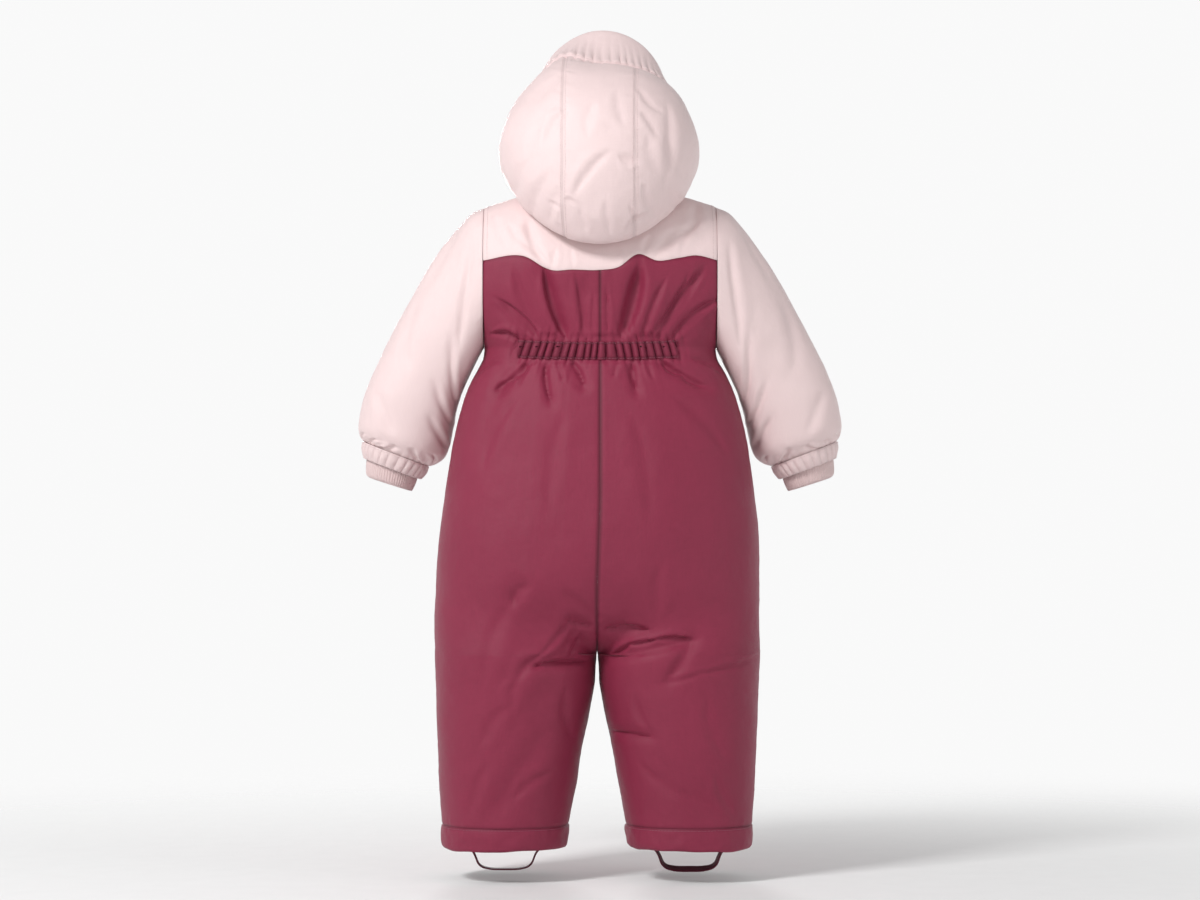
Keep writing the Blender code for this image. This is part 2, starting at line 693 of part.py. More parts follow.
def make_sleeves(cloth, knit, parts):
    sleeve, casing, cuff = tube(SLEEVE), tube(SLEEVE_CASING), tube(CUFF)

    def casing_wave(turn, ring):
        wave = 0.5 - 0.5 * np.cos(2 * math.pi * turn * SLEEVE_PUCKERS)
        return SLEEVE_PUCKER_DEPTH * wave * (0.7 + 0.3 * np.sin(ring * math.pi / 2))

    for side, word in ((1, "left"), (-1, "right")):
        make_tube(f"sleeve_{word}", sleeve, SLEEVE_RINGS, SLEEVE_COLUMNS, side, cloth, parts, SHELL_WALL,
                  start_shift=SEAM_GAP / 2)
        make_tube(f"sleeve_casing_{word}", casing, [0.03, 1, 2], SLEEVE_PUCKERS * 2, side, cloth,
                  parts, CASING_WALL, wave=casing_wave)
        make_tube(f"cuff_{word}", cuff, CUFF_RINGS, CUFF_COLUMNS, side, knit, parts, KNIT_WALL)


def hood_turn(x, ring):
    return np.arcsin(np.clip(x / HOOD.read("half_width", ring), -1, 1)) / math.pi


def ring_gap(turns, ring):
    """The seam's gap as a share of the way from one ring to the next."""
    step = 0.01
    apart = hood_points(turns, ring + step) - hood_points(turns, ring - step)
    return SEAM_GAP * 2 * step / np.linalg.norm(apart, axis=-1)


def make_hood(finish, parts):
    rings = np.array(HOOD_RINGS, float)
    strip = hood_turn(STRIP_HALF_WIDTH - STRIP_NECK_TAPER * smooth_step(4, 0, rings), rings)[:, None]
    gap = hood_turn(SEAM_GAP, rings)[:, None]
    chin = 1 - hood_turn(TAPE_HALF_WIDTH + SEAM_GAP, rings)[:, None]
    across = spaced(-1, 1, STRIP_COLUMNS)[None, :]
    turns = across * (strip - gap)
    grid = np.repeat(rings[:, None], STRIP_COLUMNS, axis=1)
    grid[-1] -= ring_gap(turns[-1], grid[-1])
    panel("hood_centre", hood, turns, grid, finish, parts)
    across = spaced(0, 1, HOOD_COLUMNS)[None, :]
    grid = np.repeat(rings[:, None], HOOD_COLUMNS, axis=1)
    turns = strip + gap + (chin - strip - gap) * across
    grid[-1] -= ring_gap(turns[-1], grid[-1])
    for side, name in ((1, "hood_left"), (-1, "hood_right")):
        panel(name, hood, side * turns, grid, finish, parts)


def make_hood_band(finish, parts):
    """The gathered casing round the face, from one side of the zip to the other."""
    columns = HOOD_PUCKERS * 2 + 1
    rings = np.array([HOOD_GATHER, 9.45, HOOD_LAST])
    chin = 1 - hood_turn(TAPE_HALF_WIDTH + SEAM_GAP, rings)[:, None]
    turns = chin * spaced(-1, 1, columns)[None, :]
    grid = np.repeat(rings[:, None], columns, axis=1)
    grid[0] += ring_gap(turns[0], grid[0])
    base, out = hood(turns, grid)
    wave = np.where(np.arange(columns) % 2 == 1, 1.0, 0.0)[None, :]
    wave = wave * smooth_step(10, 9.2, grid) * HOOD_PUCKER_DEPTH
    wall("hood_band", base + out * wave[..., None], base - out * SHELL_WALL, finish, parts)


def zip_path():
    """The zip's run down the middle of the front, from the face opening to its end, with its outward
    directions."""
    rings = np.array([HOOD_LAST, HOOD_GATHER, 7.2, 5.2, 3, 1.5, 0.5])
    chin = hood_points(np.ones(len(rings)), rings)
    level, _ = neck_level(np.zeros(1), np.array([NECK_FRONT]))
    levels = np.concatenate([level - 3, [-36, -52, FRONT_SEAM_LEVEL], spaced(-95, ZIP_END, 8)])
    chest = bare_body(1.0, False, np.full(len(levels), 2.0), levels)
    path = np.concatenate([chin, chest])
    along = np.gradient(path, axis=0)
    out = np.cross(along, np.array([1.0, 0, 0]))
    return path, out / np.linalg.norm(out, axis=1, keepdims=True)


def make_zip(finish, parts):
    path, out = zip_path()
    edge = TAPE_HALF_WIDTH - SEAM_GAP / 2
    foot = CHAIN_HALF_WIDTH + CHAIN_SLOPE
    sides = np.array([-edge, -foot, -CHAIN_HALF_WIDTH, CHAIN_HALF_WIDTH, foot, edge])
    rise = np.array([0, 0, CHAIN_RISE, CHAIN_RISE, 0, 0])
    across = sides[None, :, None] * np.array([1.0, 0, 0])
    outer = path[:, None, :] + across + out[:, None, :] * rise[None, :, None]
    inner = path[:, None, :] + across - out[:, None, :] * SHELL_WALL
    wall("zip_tape", outer, inner, finish, parts)


def make_hems(finish, parts):
    turns = spaced(0, 2, HEM_COLUMNS + 1)[:-1]
    rows = [HEM_STITCH - SEAM_GAP / 2, (HEM_STITCH + HEM_END) / 2, HEM_END]
    turns, grid = np.meshgrid(turns, rows)
    for side, name in ((1, "hem_left"), (-1, "hem_right")):
        signed = side * np.maximum(turns, JUST_OFF)
        panel(name, body, signed, grid, finish, parts, closed=True)


def strap_path(side):
    """The foot strap's run, from the leg's inner side under the foot to its outer side, seen from behind."""
    inner, outer = LEG.read("inner", STRAP_TURN), LEG.read("outer", STRAP_TURN)
    room = SHELL_WALL + SEAM_GAP + STRAP_WALL / 2 + 0.5
    half = (outer - inner) / 2 - room
    places = np.array([(half, STRAP_TOP), (half - 1, STRAP_TURN), (36, STRAP_SIDE), (27, STRAP_LOW + 5),
                       (16, STRAP_LOW + 0.6), (0, STRAP_LOW)])
    run = np.concatenate([places * np.array([-1, 1]), places[-2::-1]])
    return side * (run[:, 0] + (inner + outer) / 2) + LOWER_SWAY, run[:, 1]


def make_foot_strap(side, name, twist, finish, parts):
    """A flat webbing loop: its run, thickened inside and out. twist turns its low stretch about its
    own run, in degrees."""
    x, z = strap_path(side)
    along = np.gradient(np.stack([x, z], axis=1), axis=0)
    along /= np.linalg.norm(along, axis=1, keepdims=True)
    thick = np.stack([-along[:, 1], np.zeros(len(x)), along[:, 0]], axis=1)
    lean = math.radians(twist) * np.sin(spaced(0, 1, len(x)) * math.pi) ** 2
    middle_y = (LEG.read("back", HEM_END) + LEG.read("front", HEM_END)) / 2
    centre = np.stack([x, np.full(len(x), float(middle_y)), z], axis=1)
    wide = np.array([0, 1.0, 0]) * np.cos(lean)[:, None] + thick * np.sin(lean)[:, None]
    face = thick * np.cos(lean)[:, None] - np.array([0, 1.0, 0]) * np.sin(lean)[:, None]
    across = np.array([-0.5, 0.5]) * STRAP_WIDTH
    grid = centre[:, None, :] + wide[:, None, :] * across[None, :, None]
    outer = grid + face[:, None, :] * STRAP_WALL / 2
    inner = grid - face[:, None, :] * STRAP_WALL / 2
    wall(name, outer, inner, finish, parts)


def slider_frame():
    """Where the slider stands on the zip: the tape's face under its middle, the direction up the chain and
    the way out."""
    path, _ = zip_path()
    up = (path[0] - path[1]) / np.linalg.norm(path[0] - path[1])
    out = np.array([0, -up[2], up[1]])
    return (path[0] + path[1]) / 2 + out * SEAM_GAP, up, out


def new_box(name, size, location, lean, bevel):
    bpy.ops.mesh.primitive_cube_add(size=1, location=location)
    box = bpy.context.active_object
    box.name = name
    box.scale = size
    bpy.ops.object.transform_apply(location=False, rotation=False, scale=True)
    box.rotation_euler.x = lean
    if bevel:
        rounded = box.modifiers.new("rounded", "BEVEL")
        rounded.width = bevel
        rounded.segments = 1
    return box


def new_rod(name, radius, length, location, sides=16):
    bpy.ops.mesh.primitive_cylinder_add(radius=radius, depth=length, vertices=sides, location=location,
                                        rotation=(0, math.pi / 2, 0))
    rod = bpy.context.active_object
    rod.name = name
    return rod


def combine(target, tool, operation, cutters):
    """Adds or takes away the tool's shape, which stays in the file as a wire guide."""
    step = target.modifiers.new(tool.name, "BOOLEAN")
    step.operation = operation
    step.object = tool
    tool.hide_render = True
    tool.display_type = "WIRE"
    move_to(tool, cutters)


def move_to(piece, collection):
    for holder in list(piece.users_collection):
        holder.objects.unlink(piece)
    collection.objects.link(piece)


def pin_place():
    """The middle of the pin that holds the pull tab."""
    point, up, out = slider_frame()
    return point + out * (SLIDER_SIZE[1] + LUG_SIZE[1] - LUG_SINK - PIN_SINK) + up * LUG_UP


def make_slider(finish, parts, cutters):
    """A block that straddles the chain, with two lugs and a pin between them."""
    point, up, out = slider_frame()
    lean = math.atan2(-up[1], up[2])
    block_at = (point + out * SLIDER_SIZE[1] / 2) * MM
    slider = new_box("zip_slider", [side * MM for side in SLIDER_SIZE], block_at, lean, SLIDER_ROUNDING * MM)
    width, depth = SLIDER_CHANNEL
    channel_size = [width * MM, 2 * depth * MM, 2 * SLIDER_SIZE[2] * MM]
    channel = new_box("chain_channel", channel_size, point * MM, lean, 0)
    combine(slider, channel, "DIFFERENCE", cutters)
    lug_at = point + out * (SLIDER_SIZE[1] + LUG_SIZE[1] / 2 - LUG_SINK) + up * LUG_UP
    apart = EYE_WIDTH / 2 + EYE_PLAY + LUG_SIZE[0] / 2
    for side, word in ((1, "left"), (-1, "right")):
        offset = np.array([side * apart, 0, 0])
        lug = new_box(f"lug_{word}", [side * MM for side in LUG_SIZE], (lug_at + offset) * MM, lean, 0.3 * MM)
        combine(slider, lug, "UNION", cutters)
    pin = new_rod("pin", PIN_RADIUS * MM, 2 * apart * MM, pin_place() * MM)
    combine(slider, pin, "UNION", cutters)
    move_to(slider, parts)
    slider.data.materials.append(finish)


def make_pull_tab(finish, parts, cutters):
    """A plate that hangs from an eye round the slider's pin. Its origin is on the pin's axis."""
    pin_at = pin_place()
    eye = new_rod("pull_tab", EYE_RADIUS * MM, EYE_WIDTH * MM, pin_at * MM)
    neck_at = pin_at - np.array([0, 0, EYE_HOLE + 0.3 + TAB_NECK / 2])
    neck = new_box("tab_neck", [EYE_WIDTH * MM, TAB_SIZE[1] * MM, TAB_NECK * MM], neck_at * MM, 0, 0.3 * MM)
    plate_at = neck_at - np.array([0, 0, TAB_NECK / 2 - 1 + TAB_SIZE[2] / 2])
    plate = new_box("tab_plate", [side * MM for side in TAB_SIZE], plate_at * MM, 0, 0.6 * MM)
    combine(eye, neck, "UNION", cutters)
    combine(eye, plate, "UNION", cutters)
    hole = new_rod("eye_hole", EYE_HOLE * MM, 2 * EYE_WIDTH * MM, pin_at * MM)
    combine(eye, hole, "DIFFERENCE", cutters)
    move_to(eye, parts)
    eye.data.materials.append(finish)


def main():
    for old in list(bpy.data.objects):
        bpy.data.objects.remove(old)
    parts = bpy.data.collections.new("baby_snowsuit")
    cutters = bpy.data.collections.new("cutters")
    bpy.context.scene.collection.children.link(parts)
    bpy.context.scene.collection.children.link(cutters)
    burgundy = material("burgundy_cloth", BURGUNDY, 0.6)
    pink = material("pink_cloth", PINK, 0.5)
    knit = material("pink_knit", KNIT_PINK, 0.9)
    chain = material("zip_chain", ZIP_PINK, 0.5)
    enamel = material("slider_enamel", ENAMEL, 0.35, 0.3)
    make_back(1, "back_left", burgundy, parts)
    make_back(-1, "back_right", burgundy, parts)
    make_front(1, "front_left", burgundy, parts)
    make_front(-1, "front_right", burgundy, parts)
    make_yokes(pink, parts)
    make_waist_casing(burgundy, parts)
    make_sleeves(pink, knit, parts)
    make_hood(pink, parts)
    make_hood_band(pink, parts)
    make_zip(chain, parts)
    make_hems(burgundy, parts)
    make_foot_strap(1, "foot_strap_left", STRAP_TWISTS["left"], burgundy, parts)
    make_foot_strap(-1, "foot_strap_right", STRAP_TWISTS["right"], burgundy, parts)
    make_slider(enamel, parts, cutters)
    make_pull_tab(enamel, parts, cutters)


main()
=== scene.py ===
# %% [markdown]
# A baby's snowsuit, dressed.
# The suit is sewn from padded cloth: a burgundy body and trousers, pink yokes, sleeves and hood, knitted
# cuffs, gathered casings, a front zip and two foot straps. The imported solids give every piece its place.
# Here each cloth piece becomes a finer shell on the same form, with creases, gathers, seams and stitches.
# All working sizes are in millimetres. Points turn into metres when a mesh is made.

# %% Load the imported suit
import math

import bmesh
import bpy
import numpy as np
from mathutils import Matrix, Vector


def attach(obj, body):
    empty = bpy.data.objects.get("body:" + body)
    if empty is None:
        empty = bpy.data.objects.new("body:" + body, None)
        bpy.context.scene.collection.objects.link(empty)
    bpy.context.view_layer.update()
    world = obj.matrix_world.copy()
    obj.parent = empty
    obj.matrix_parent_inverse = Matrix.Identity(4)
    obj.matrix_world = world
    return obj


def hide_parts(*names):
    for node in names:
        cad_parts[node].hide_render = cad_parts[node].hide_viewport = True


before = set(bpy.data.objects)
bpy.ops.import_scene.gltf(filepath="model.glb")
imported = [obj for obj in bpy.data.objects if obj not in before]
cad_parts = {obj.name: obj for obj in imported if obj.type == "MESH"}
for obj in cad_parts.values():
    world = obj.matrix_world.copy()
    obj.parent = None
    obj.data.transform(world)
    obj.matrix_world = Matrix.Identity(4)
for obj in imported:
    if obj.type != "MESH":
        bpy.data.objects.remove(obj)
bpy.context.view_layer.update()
MM = 0.001
JUST_OFF = 1e-6
SIDES = ((1, "left"), (-1, "right"))

# %% [markdown]
# A pattern cutter keeps sizes in short tables: one row for each level, one named column for each size.
# Between two rows the cloth runs in a smooth curve. A cubic that knows the slope at each row gives that
# curve, and it never needs more rows than a person would measure with a tape.


# %% A table with named columns
def cubic(t, start, end, leaving, arriving):
    """A smooth run from start to end, with the slopes at which it leaves and arrives. t goes from 0 to 1."""
    first = (1 + 2 * t) * (1 - t) ** 2 * start + t * (1 - t) ** 2 * leaving
    return first + t * t * (3 - 2 * t) * end + t * t * (t - 1) * arriving


class Table:
    """Rows of sizes with named columns, read between its rows along a smooth curve."""

    def __init__(self, names, rows):
        self.names = names.split()
        self.rows = np.array(sorted(rows), float)

    def read(self, name, key):
        keys = self.rows[:, 0]
        values = self.rows[:, self.names.index(name)]
        slopes = np.gradient(values, keys)
        key = np.clip(key, keys[0], keys[-1])
        i = np.clip(np.searchsorted(keys, key) - 1, 0, len(keys) - 2)
        step = keys[i + 1] - keys[i]
        return cubic((key - keys[i]) / step, values[i], values[i + 1], step * slopes[i], step * slopes[i + 1])


def smooth_step(start, end, value):
    t = np.clip((value - start) / (end - start), 0, 1)
    return t * t * (3 - 2 * t)


def power(value, squareness):
    """Bends a sine or cosine so that a circle turns into a rounded rectangle."""
    return np.sign(value) * np.abs(value) ** (2 / squareness)


def spaced(start, end, count):
    return np.linspace(start, end, count)


def unit(vectors):
    return vectors / np.linalg.norm(vectors, axis=-1, keepdims=True)


def moved(points, out, by):
    """The points, each moved out by its own distance."""
    return points + out * by[..., None]


# %% Sizes of the cut
SHELL_WALL = 2.6
KNIT_WALL = 2.2
CASING_WALL = 2.0
STRAP_WALL = 1.8
SEAM_GAP = 0.3
ARMHOLE_X = 122.0
ARMHOLE_TOP = -8.0
ARMHOLE_MIDDLE = -82.0
ARMHOLE_BOTTOM = -156.0
ARMHOLE_HALF_DEPTH = 58.0
SHOULDER_RISE = 26.0
SHOULDER_CURVE = 1.6
SHOULDER_ROUND = 72.0
RISE_START = -60.0
NECK_HALF_WIDTH = 57.0
NECK_BACK = 48.0
NECK_FRONT = -60.0
NECK_MIDDLE = (NECK_BACK + NECK_FRONT) / 2
NECK_HALF_LENGTH = (NECK_BACK - NECK_FRONT) / 2
FORK_START = -372.0
CROTCH = -475.0
FORK_WIDTH = 0.3
FORK_DELAY = 0.25
HEM_STITCH = -654.0
HEM_END = -678.0
LOWER_SWAY = 3.0
SWAY_START = -300.0
SWAY_END = -420.0
CASING_LEFT = 86.0
CASING_RIGHT = -80.0
CASING_TOP = -148.0
CASING_HEIGHT = 19.5
CASING_DIP = 2.4
CASING_LIFT = 0.6
CASING_BOW = 2.4
CASING_FADE = 8.0
CASING_END_FADE = 14.0
STRIP_HALF_WIDTH = 37.0
STRIP_NECK_TAPER = 4.0
HOOD_GATHER = 9
HOOD_LAST = 10
HOOD_CORNER = 1 / 3
TAPE_HALF_WIDTH = 7.0
ZIP_END = -330.0
ZIP_CLOSING = 2.4
TAPE_CLEAR = TAPE_HALF_WIDTH + SEAM_GAP
FRONT_SEAM_LEVEL = -70.0
BODY_SQUARENESS = 2.4
LEG_SQUARENESS = 2.2
RING_SQUARENESS = 2.15

BODY = Table(
    "level half_width back front",
    [
        (0, 122, 80, 74),
        (-80, 122, 80, 76),
        (-120, 122, 77, 79),
        (-157, 121.5, 73, 82),
        (-168, 123.5, 74, 83),
        (-178, 129, 76, 84),
        (-199, 139, 82, 86),
        (-231, 149, 89, 88),
        (-273, 157.5, 96, 90),
        (-315, 163, 101, 91),
        (-357, 167.5, 104, 90),
        (-420, 170, 102, 86),
        (-475, 170.5, 98, 82),
    ],
)
LEG = Table(
    "level inner outer back front",
    [
        (-330, 0, 168, 100, -88),
        (-440, 0, 170, 90, -81),
        (-475, 0.6, 170.5, 86, -78),
        (-500, 2.2, 170, 83, -76),
        (-525, 6, 169, 80, -74),
        (-567, 14, 167.5, 76, -70),
        (-609, 21.5, 165.5, 73, -67),
        (-651, 29, 163, 70, -64),
        (-678, 32, 162, 69, -63),
    ],
)
YOKE_SEAM = Table(
    "x level",
    [
        (-123, -66),
        (-99, -61),
        (-81, -64),
        (-59, -67),
        (-39, -60.5),
        (-19, -74),
        (0, -77),
        (29, -76.6),
        (51, -77),
        (78, -62.5),
        (123, -66),
    ],
)
SLEEVE = Table(
    "ring outer_x outer_z inner_x inner_z middle_y half_depth",
    [
        (0, 122, -8, 122, -156, 0, 58),
        (1, 138, -16, 131, -173, -4, 57),
        (2, 160, -43, 140, -191, -9, 55),
        (3, 185, -79, 147, -207, -15, 53),
        (4, 209, -121, 151.5, -222, -21, 51),
        (5, 231, -162, 154.5, -237, -26, 50),
        (6, 247, -198, 157.5, -251, -30, 49),
        (7, 255.5, -232, 163, -267, -33, 47),
        (8, 255, -245, 171, -275, -35, 42),
        (9, 251, -253, 181.5, -279.5, -36, 37),
    ],
)
SLEEVE_CASING = Table(
    "ring outer_x outer_z inner_x inner_z middle_y half_depth",
    [
        (0, 251, -253, 181.5, -279.5, -36, 37),
        (1, 250.5, -262, 186, -286.5, -36.5, 34),
        (2, 249.5, -271.5, 190.5, -293.5, -37, 31),
    ],
)
CUFF = Table(
    "ring outer_x outer_z inner_x inner_z middle_y half_depth",
    [
        (0, 246.2, -266.2, 192.4, -286.4, -36.8, 28.0),
        (1, 247.8, -276.8, 194.7, -296.2, -37.4, 28.0),
        (2, 247.6, -287.5, 198.0, -303.5, -38, 26.6),
        (3, 244.6, -291.6, 199.6, -306.0, -38.3, 24.6),
    ],
)
HOOD = Table(
    "ring outer_y outer_z chin_y chin_z half_width lift sway corner",
    [
        (0, 48, 4, -60, -14, 57, 23, 0, 0),
        (1, 74, -16, -62, -8, 76, 27, 0, 0),
        (2, 92, -51, -64, -3, 91, 38, 0.5, 0),
        (3, 112, -30, -66, 2, 98, 34, 1, 0),
        (4, 124, 8, -67, 7, 103.5, 27, 1, 0),
        (5, 125, 48, -68, 11, 104.5, 24, 1, 0),
        (6, 112, 88, -69, 15, 100.5, 18, 1, 0),
        (7, 84, 120, -70, 18.5, 94, 14, 0.5, 2),
        (8, 50, 137, -71, 21.5, 88.5, 10, 0, 7),
        (9, 20, 142, -72.5, 25, 83, 7, -1, 13),
        (10, -28, 181.5, -77, 40, 69, 0, -3, 0),
    ],
)
print("seat", 2 * BODY.read("half_width", -420.0), "mm wide, leg", HEM_END - CROTCH, "mm from fork to hem")

# %% [markdown]
# Big folds are part of the worn form, so the solids have them too. Each is a straight run from one place
# to another on the back or the front, with a width and a depth. A depth below zero is a valley.

# %% Large folds
# x0 z0 x1 z1 width depth
BACK_FOLDS = [
    (57, -76, 35, -146, 7, -5),
    (105, -113, 66, -148, 6, -4),
    (-42, -80, -27, -146, 9, -5),
    (-115, -75, -71, -140, 7, -4.5),
    (-122, -114, -82, -146, 6, -3.5),
    (16, -90, 12, -146, 6, -2.5),
    (56, -170, 50, -215, 6, -4),
    (30, -170, 16, -200, 6, -3.5),
    (-33, -170, -38, -205, 6, -3.5),
    (-60, -168, -112, -198, 7, -4.5),
    (76, -170, 108, -202, 7, -4.5),
    (100, -190, 128, -262, 10, -3),
    (72, -484, 14, -480, 7, -4),
    (34, -436, 8, -444, 7, -3),
    (78, -396, 92, -420, 12, -3),
    (34, -436, 92, -528, 14, 3.5),
    (-8, -445, -50, -449, 6, -3.5),
    (-14, -476, -94, -458, 7, -6),
    (-94, -458, -66, -504, 10, -3),
    (-14, -556, -54, -558, 6, -3),
    (60, -560, 110, -640, 12, -3),
    (-60, -590, -120, -640, 12, -3),
]
# x0 z0 x1 z1 width depth
FRONT_FOLDS = [
    (50, -390, 96, -440, 12, -4),
    (-50, -390, -96, -440, 12, -4),
    (30, -500, 110, -520, 10, -4),
    (-30, -505, -110, -522, 10, -4),
    (110, -190, 60, -250, 14, -3),
    (-110, -190, -60, -250, 14, -3),
]
FOLD_OVERRUN = 0.25
FOLD_RISE = 0.2
FOLD_SIDE_FADE = 0.35
FOLD_SEAM_FADE = 9.0


def bell(distance, width):
    return np.exp(-((distance / width) ** 2))


def beside_run(place, run):
    """How far along a straight run each place lies, as a share of it, and how far to its side."""
    length = np.hypot(*run)
    return place @ run / length ** 2, (place[..., 0] * run[1] - place[..., 1] * run[0]) / length


def faded_ends(along, overrun, rise):
    """1 along a run, and down to 0 a little beyond its ends."""
    return smooth_step(-overrun, rise, along) * smooth_step(1 + overrun, 1 - rise, along)


def fold_depth(point, folds):
    """How far the folds move the cloth out at each point, from its x and z."""
    total = np.zeros(point.shape[:-1])
    for x0, z0, x1, z1, width, depth in folds:
        along, beside = beside_run(point[..., [0, 2]] - np.array([x0, z0]), np.array([x1 - x0, z1 - z0]))
        total += depth * faded_ends(along, FOLD_OVERRUN, FOLD_RISE) * bell(beside, width)
    return total


# %% [markdown]
# The body is one tube down to the waist and seat, and then two legs. A section through it is a rounded
# rectangle, so a sine and cosine are bent a little towards the corners. Going down from the seat, each
# half of the section slides over into its own leg, and under the crotch it turns in a quarter circle.


# %% The body as a surface
def shoulder_rise(x):
    return SHOULDER_RISE * (1 - np.clip(np.abs(x) / ARMHOLE_X, 0, 1) ** SHOULDER_CURVE)


def shoulder_round(level):
    below = np.clip((ARMHOLE_TOP - level) / SHOULDER_ROUND, 0, 1)
    return np.sqrt(np.clip(1 - (1 - below) ** 2, 0, 1))


def half_section(turn, level, reach):
    """A quarter of a section. turn is 0 at the centre seam and 1 at the side or armhole."""
    upper = level > ARMHOLE_BOTTOM
    drop = np.clip((ARMHOLE_MIDDLE - level) / (ARMHOLE_MIDDLE - ARMHOLE_BOTTOM), 0, 1)
    armhole = ARMHOLE_HALF_DEPTH * np.sqrt(np.clip(1 - drop ** 2, 0, 1)) / reach
    armhole = np.where(upper, armhole, 0)
    edge = (1 - armhole ** BODY_SQUARENESS) ** (1 / BODY_SQUARENESS)
    half_width = np.where(upper, (ARMHOLE_X - SEAM_GAP) / edge, BODY.read("half_width", level))
    angle = turn * np.arcsin(edge ** (BODY_SQUARENESS / 2))
    depth = reach * shoulder_round(level)
    return half_width * power(np.sin(angle), BODY_SQUARENESS), depth * power(np.cos(angle), BODY_SQUARENESS)


def lower_sway(level):
    return LOWER_SWAY * smooth_step(SWAY_START, SWAY_END, level)


def bare_body(side, at_back, turn, level):
    """A quarter of the body and leg with no folds. turn 0 is the centre back, 1 the side, 2 the front."""
    back_x, back_y = half_section(turn, level, BODY.read("back", level))
    front_x, front_y = half_section(2 - turn, level, BODY.read("front", level))
    x = np.where(at_back, back_x, front_x)
    y = np.where(at_back, back_y, -front_y)
    inner, outer = np.maximum(LEG.read("inner", level), 0), LEG.read("outer", level)
    back, front = LEG.read("back", level), LEG.read("front", level)
    angle = math.pi * (1 - turn)
    leg_x = (inner + outer) / 2 + (outer - inner) / 2 * power(np.cos(angle), LEG_SQUARENESS)
    leg_y = (back + front) / 2 + (back - front) / 2 * power(np.sin(angle), LEG_SQUARENESS)
    fork = np.clip((FORK_START - level) / (FORK_START - CROTCH), 0, 1)
    away = smooth_step(0, FORK_WIDTH, 1 - np.abs(1 - turn))
    late = np.clip((fork - FORK_DELAY * away) / (1 - FORK_DELAY * away), 0, 1)
    share = 1 - (1 - late ** 2) ** (0.5 + away)
    x = (1 - share) * x + share * leg_x
    y = (1 - share) * y + share * leg_y
    rise = shoulder_rise(x) * smooth_step(RISE_START, ARMHOLE_TOP, level)
    return np.stack([side * x + lower_sway(level), y, level + rise], axis=-1)


TURN_STEP = 1e-3
ROW_STEP = 0.05


def outward(surface, turn, row):
    """Directions square to a surface, from two small steps each way."""
    along_u = surface(turn + TURN_STEP, row) - surface(turn - TURN_STEP, row)
    along_v = surface(turn, row + ROW_STEP) - surface(turn, row - ROW_STEP)
    across = np.cross(along_v, along_u)
    return across / np.maximum(np.linalg.norm(across, axis=-1, keepdims=True), 1e-12)


def casing_mask(point):
    """1 where the waist casing lies, 0 away from it."""
    x, z = point[..., 0], point[..., 2]
    low = CASING_TOP - CASING_HEIGHT
    rows = smooth_step(CASING_TOP + CASING_FADE, CASING_TOP + 1, z)
    rows = rows * smooth_step(low - CASING_FADE, low - 1, z)
    left = smooth_step(CASING_LEFT + CASING_END_FADE, CASING_LEFT, x)
    right = smooth_step(CASING_RIGHT - CASING_END_FADE, CASING_RIGHT, x)
    return rows * left * right


def folded_body(side, at_back, turn, level):
    point = bare_body(side, at_back, turn, level)
    out = side[..., None] * outward(lambda u, v: bare_body(side, at_back, u, v), turn, level)
    on_back = smooth_step(1, 1 - FOLD_SIDE_FADE, turn)
    on_front = smooth_step(1, 1 + FOLD_SIDE_FADE, turn)
    casing = casing_mask(point)
    depth = on_back * (1 - casing) * fold_depth(point, BACK_FOLDS)
    depth = depth + on_front * fold_depth(point, FRONT_FOLDS)
    depth = depth * smooth_step(0, FOLD_SEAM_FADE, np.abs(point[..., 0] - lower_sway(level)))
    depth = depth - on_back * casing * CASING_DIP
    return moved(point, out, depth)


def body(turn, level):
    """Points of the folded body and their outward directions. A turn below zero is the right side."""
    side = np.where(turn < 0, -1.0, 1.0)
    turn = np.abs(turn)
    at_back = turn <= 1
    point = folded_body(side, at_back, turn, level)
    out = outward(lambda u, v: folded_body(side, at_back, u, v), turn, level)
    return point, side[..., None] * out


def turn_at_x(x, level, reach_name):
    """The turn at which the section stands x from the middle."""
    reach = BODY.read(reach_name, level)
    low, high = np.zeros_like(level), np.ones_like(level)
    for _ in range(40):
        middle = (low + high) / 2
        found, _ = half_section(middle, level, reach)
        low, high = np.where(found < x, middle, low), np.where(found < x, high, middle)
    return (low + high) / 2


# %% [markdown]
# The hood is a stack of rings that tip up from the neck seam to the face opening. A sleeve, its casing
# and its cuff are slanting rings too. All of them give a point and the way out at any place, so cloth of
# any fineness can be laid on them.


# %% Hood and sleeve surfaces
def neck_level(x, y):
    """The level of the shoulders over a point of the neck seam, and its height."""
    reach = np.where(y > 0, BODY.read("back", ARMHOLE_TOP), BODY.read("front", ARMHOLE_TOP))
    armhole = (ARMHOLE_HALF_DEPTH / reach) ** BODY_SQUARENESS
    half_width = (ARMHOLE_X - SEAM_GAP) / (1 - armhole) ** (1 / BODY_SQUARENESS)
    section = (1 - np.abs(x / half_width) ** BODY_SQUARENESS) ** (1 / BODY_SQUARENESS)
    share = np.clip(np.abs(y) / (reach * section), 0, 0.999)
    level = ARMHOLE_TOP - SHOULDER_ROUND * (1 - np.sqrt(1 - share ** 2))
    return level, level + shoulder_rise(x) * smooth_step(RISE_START, ARMHOLE_TOP, level)


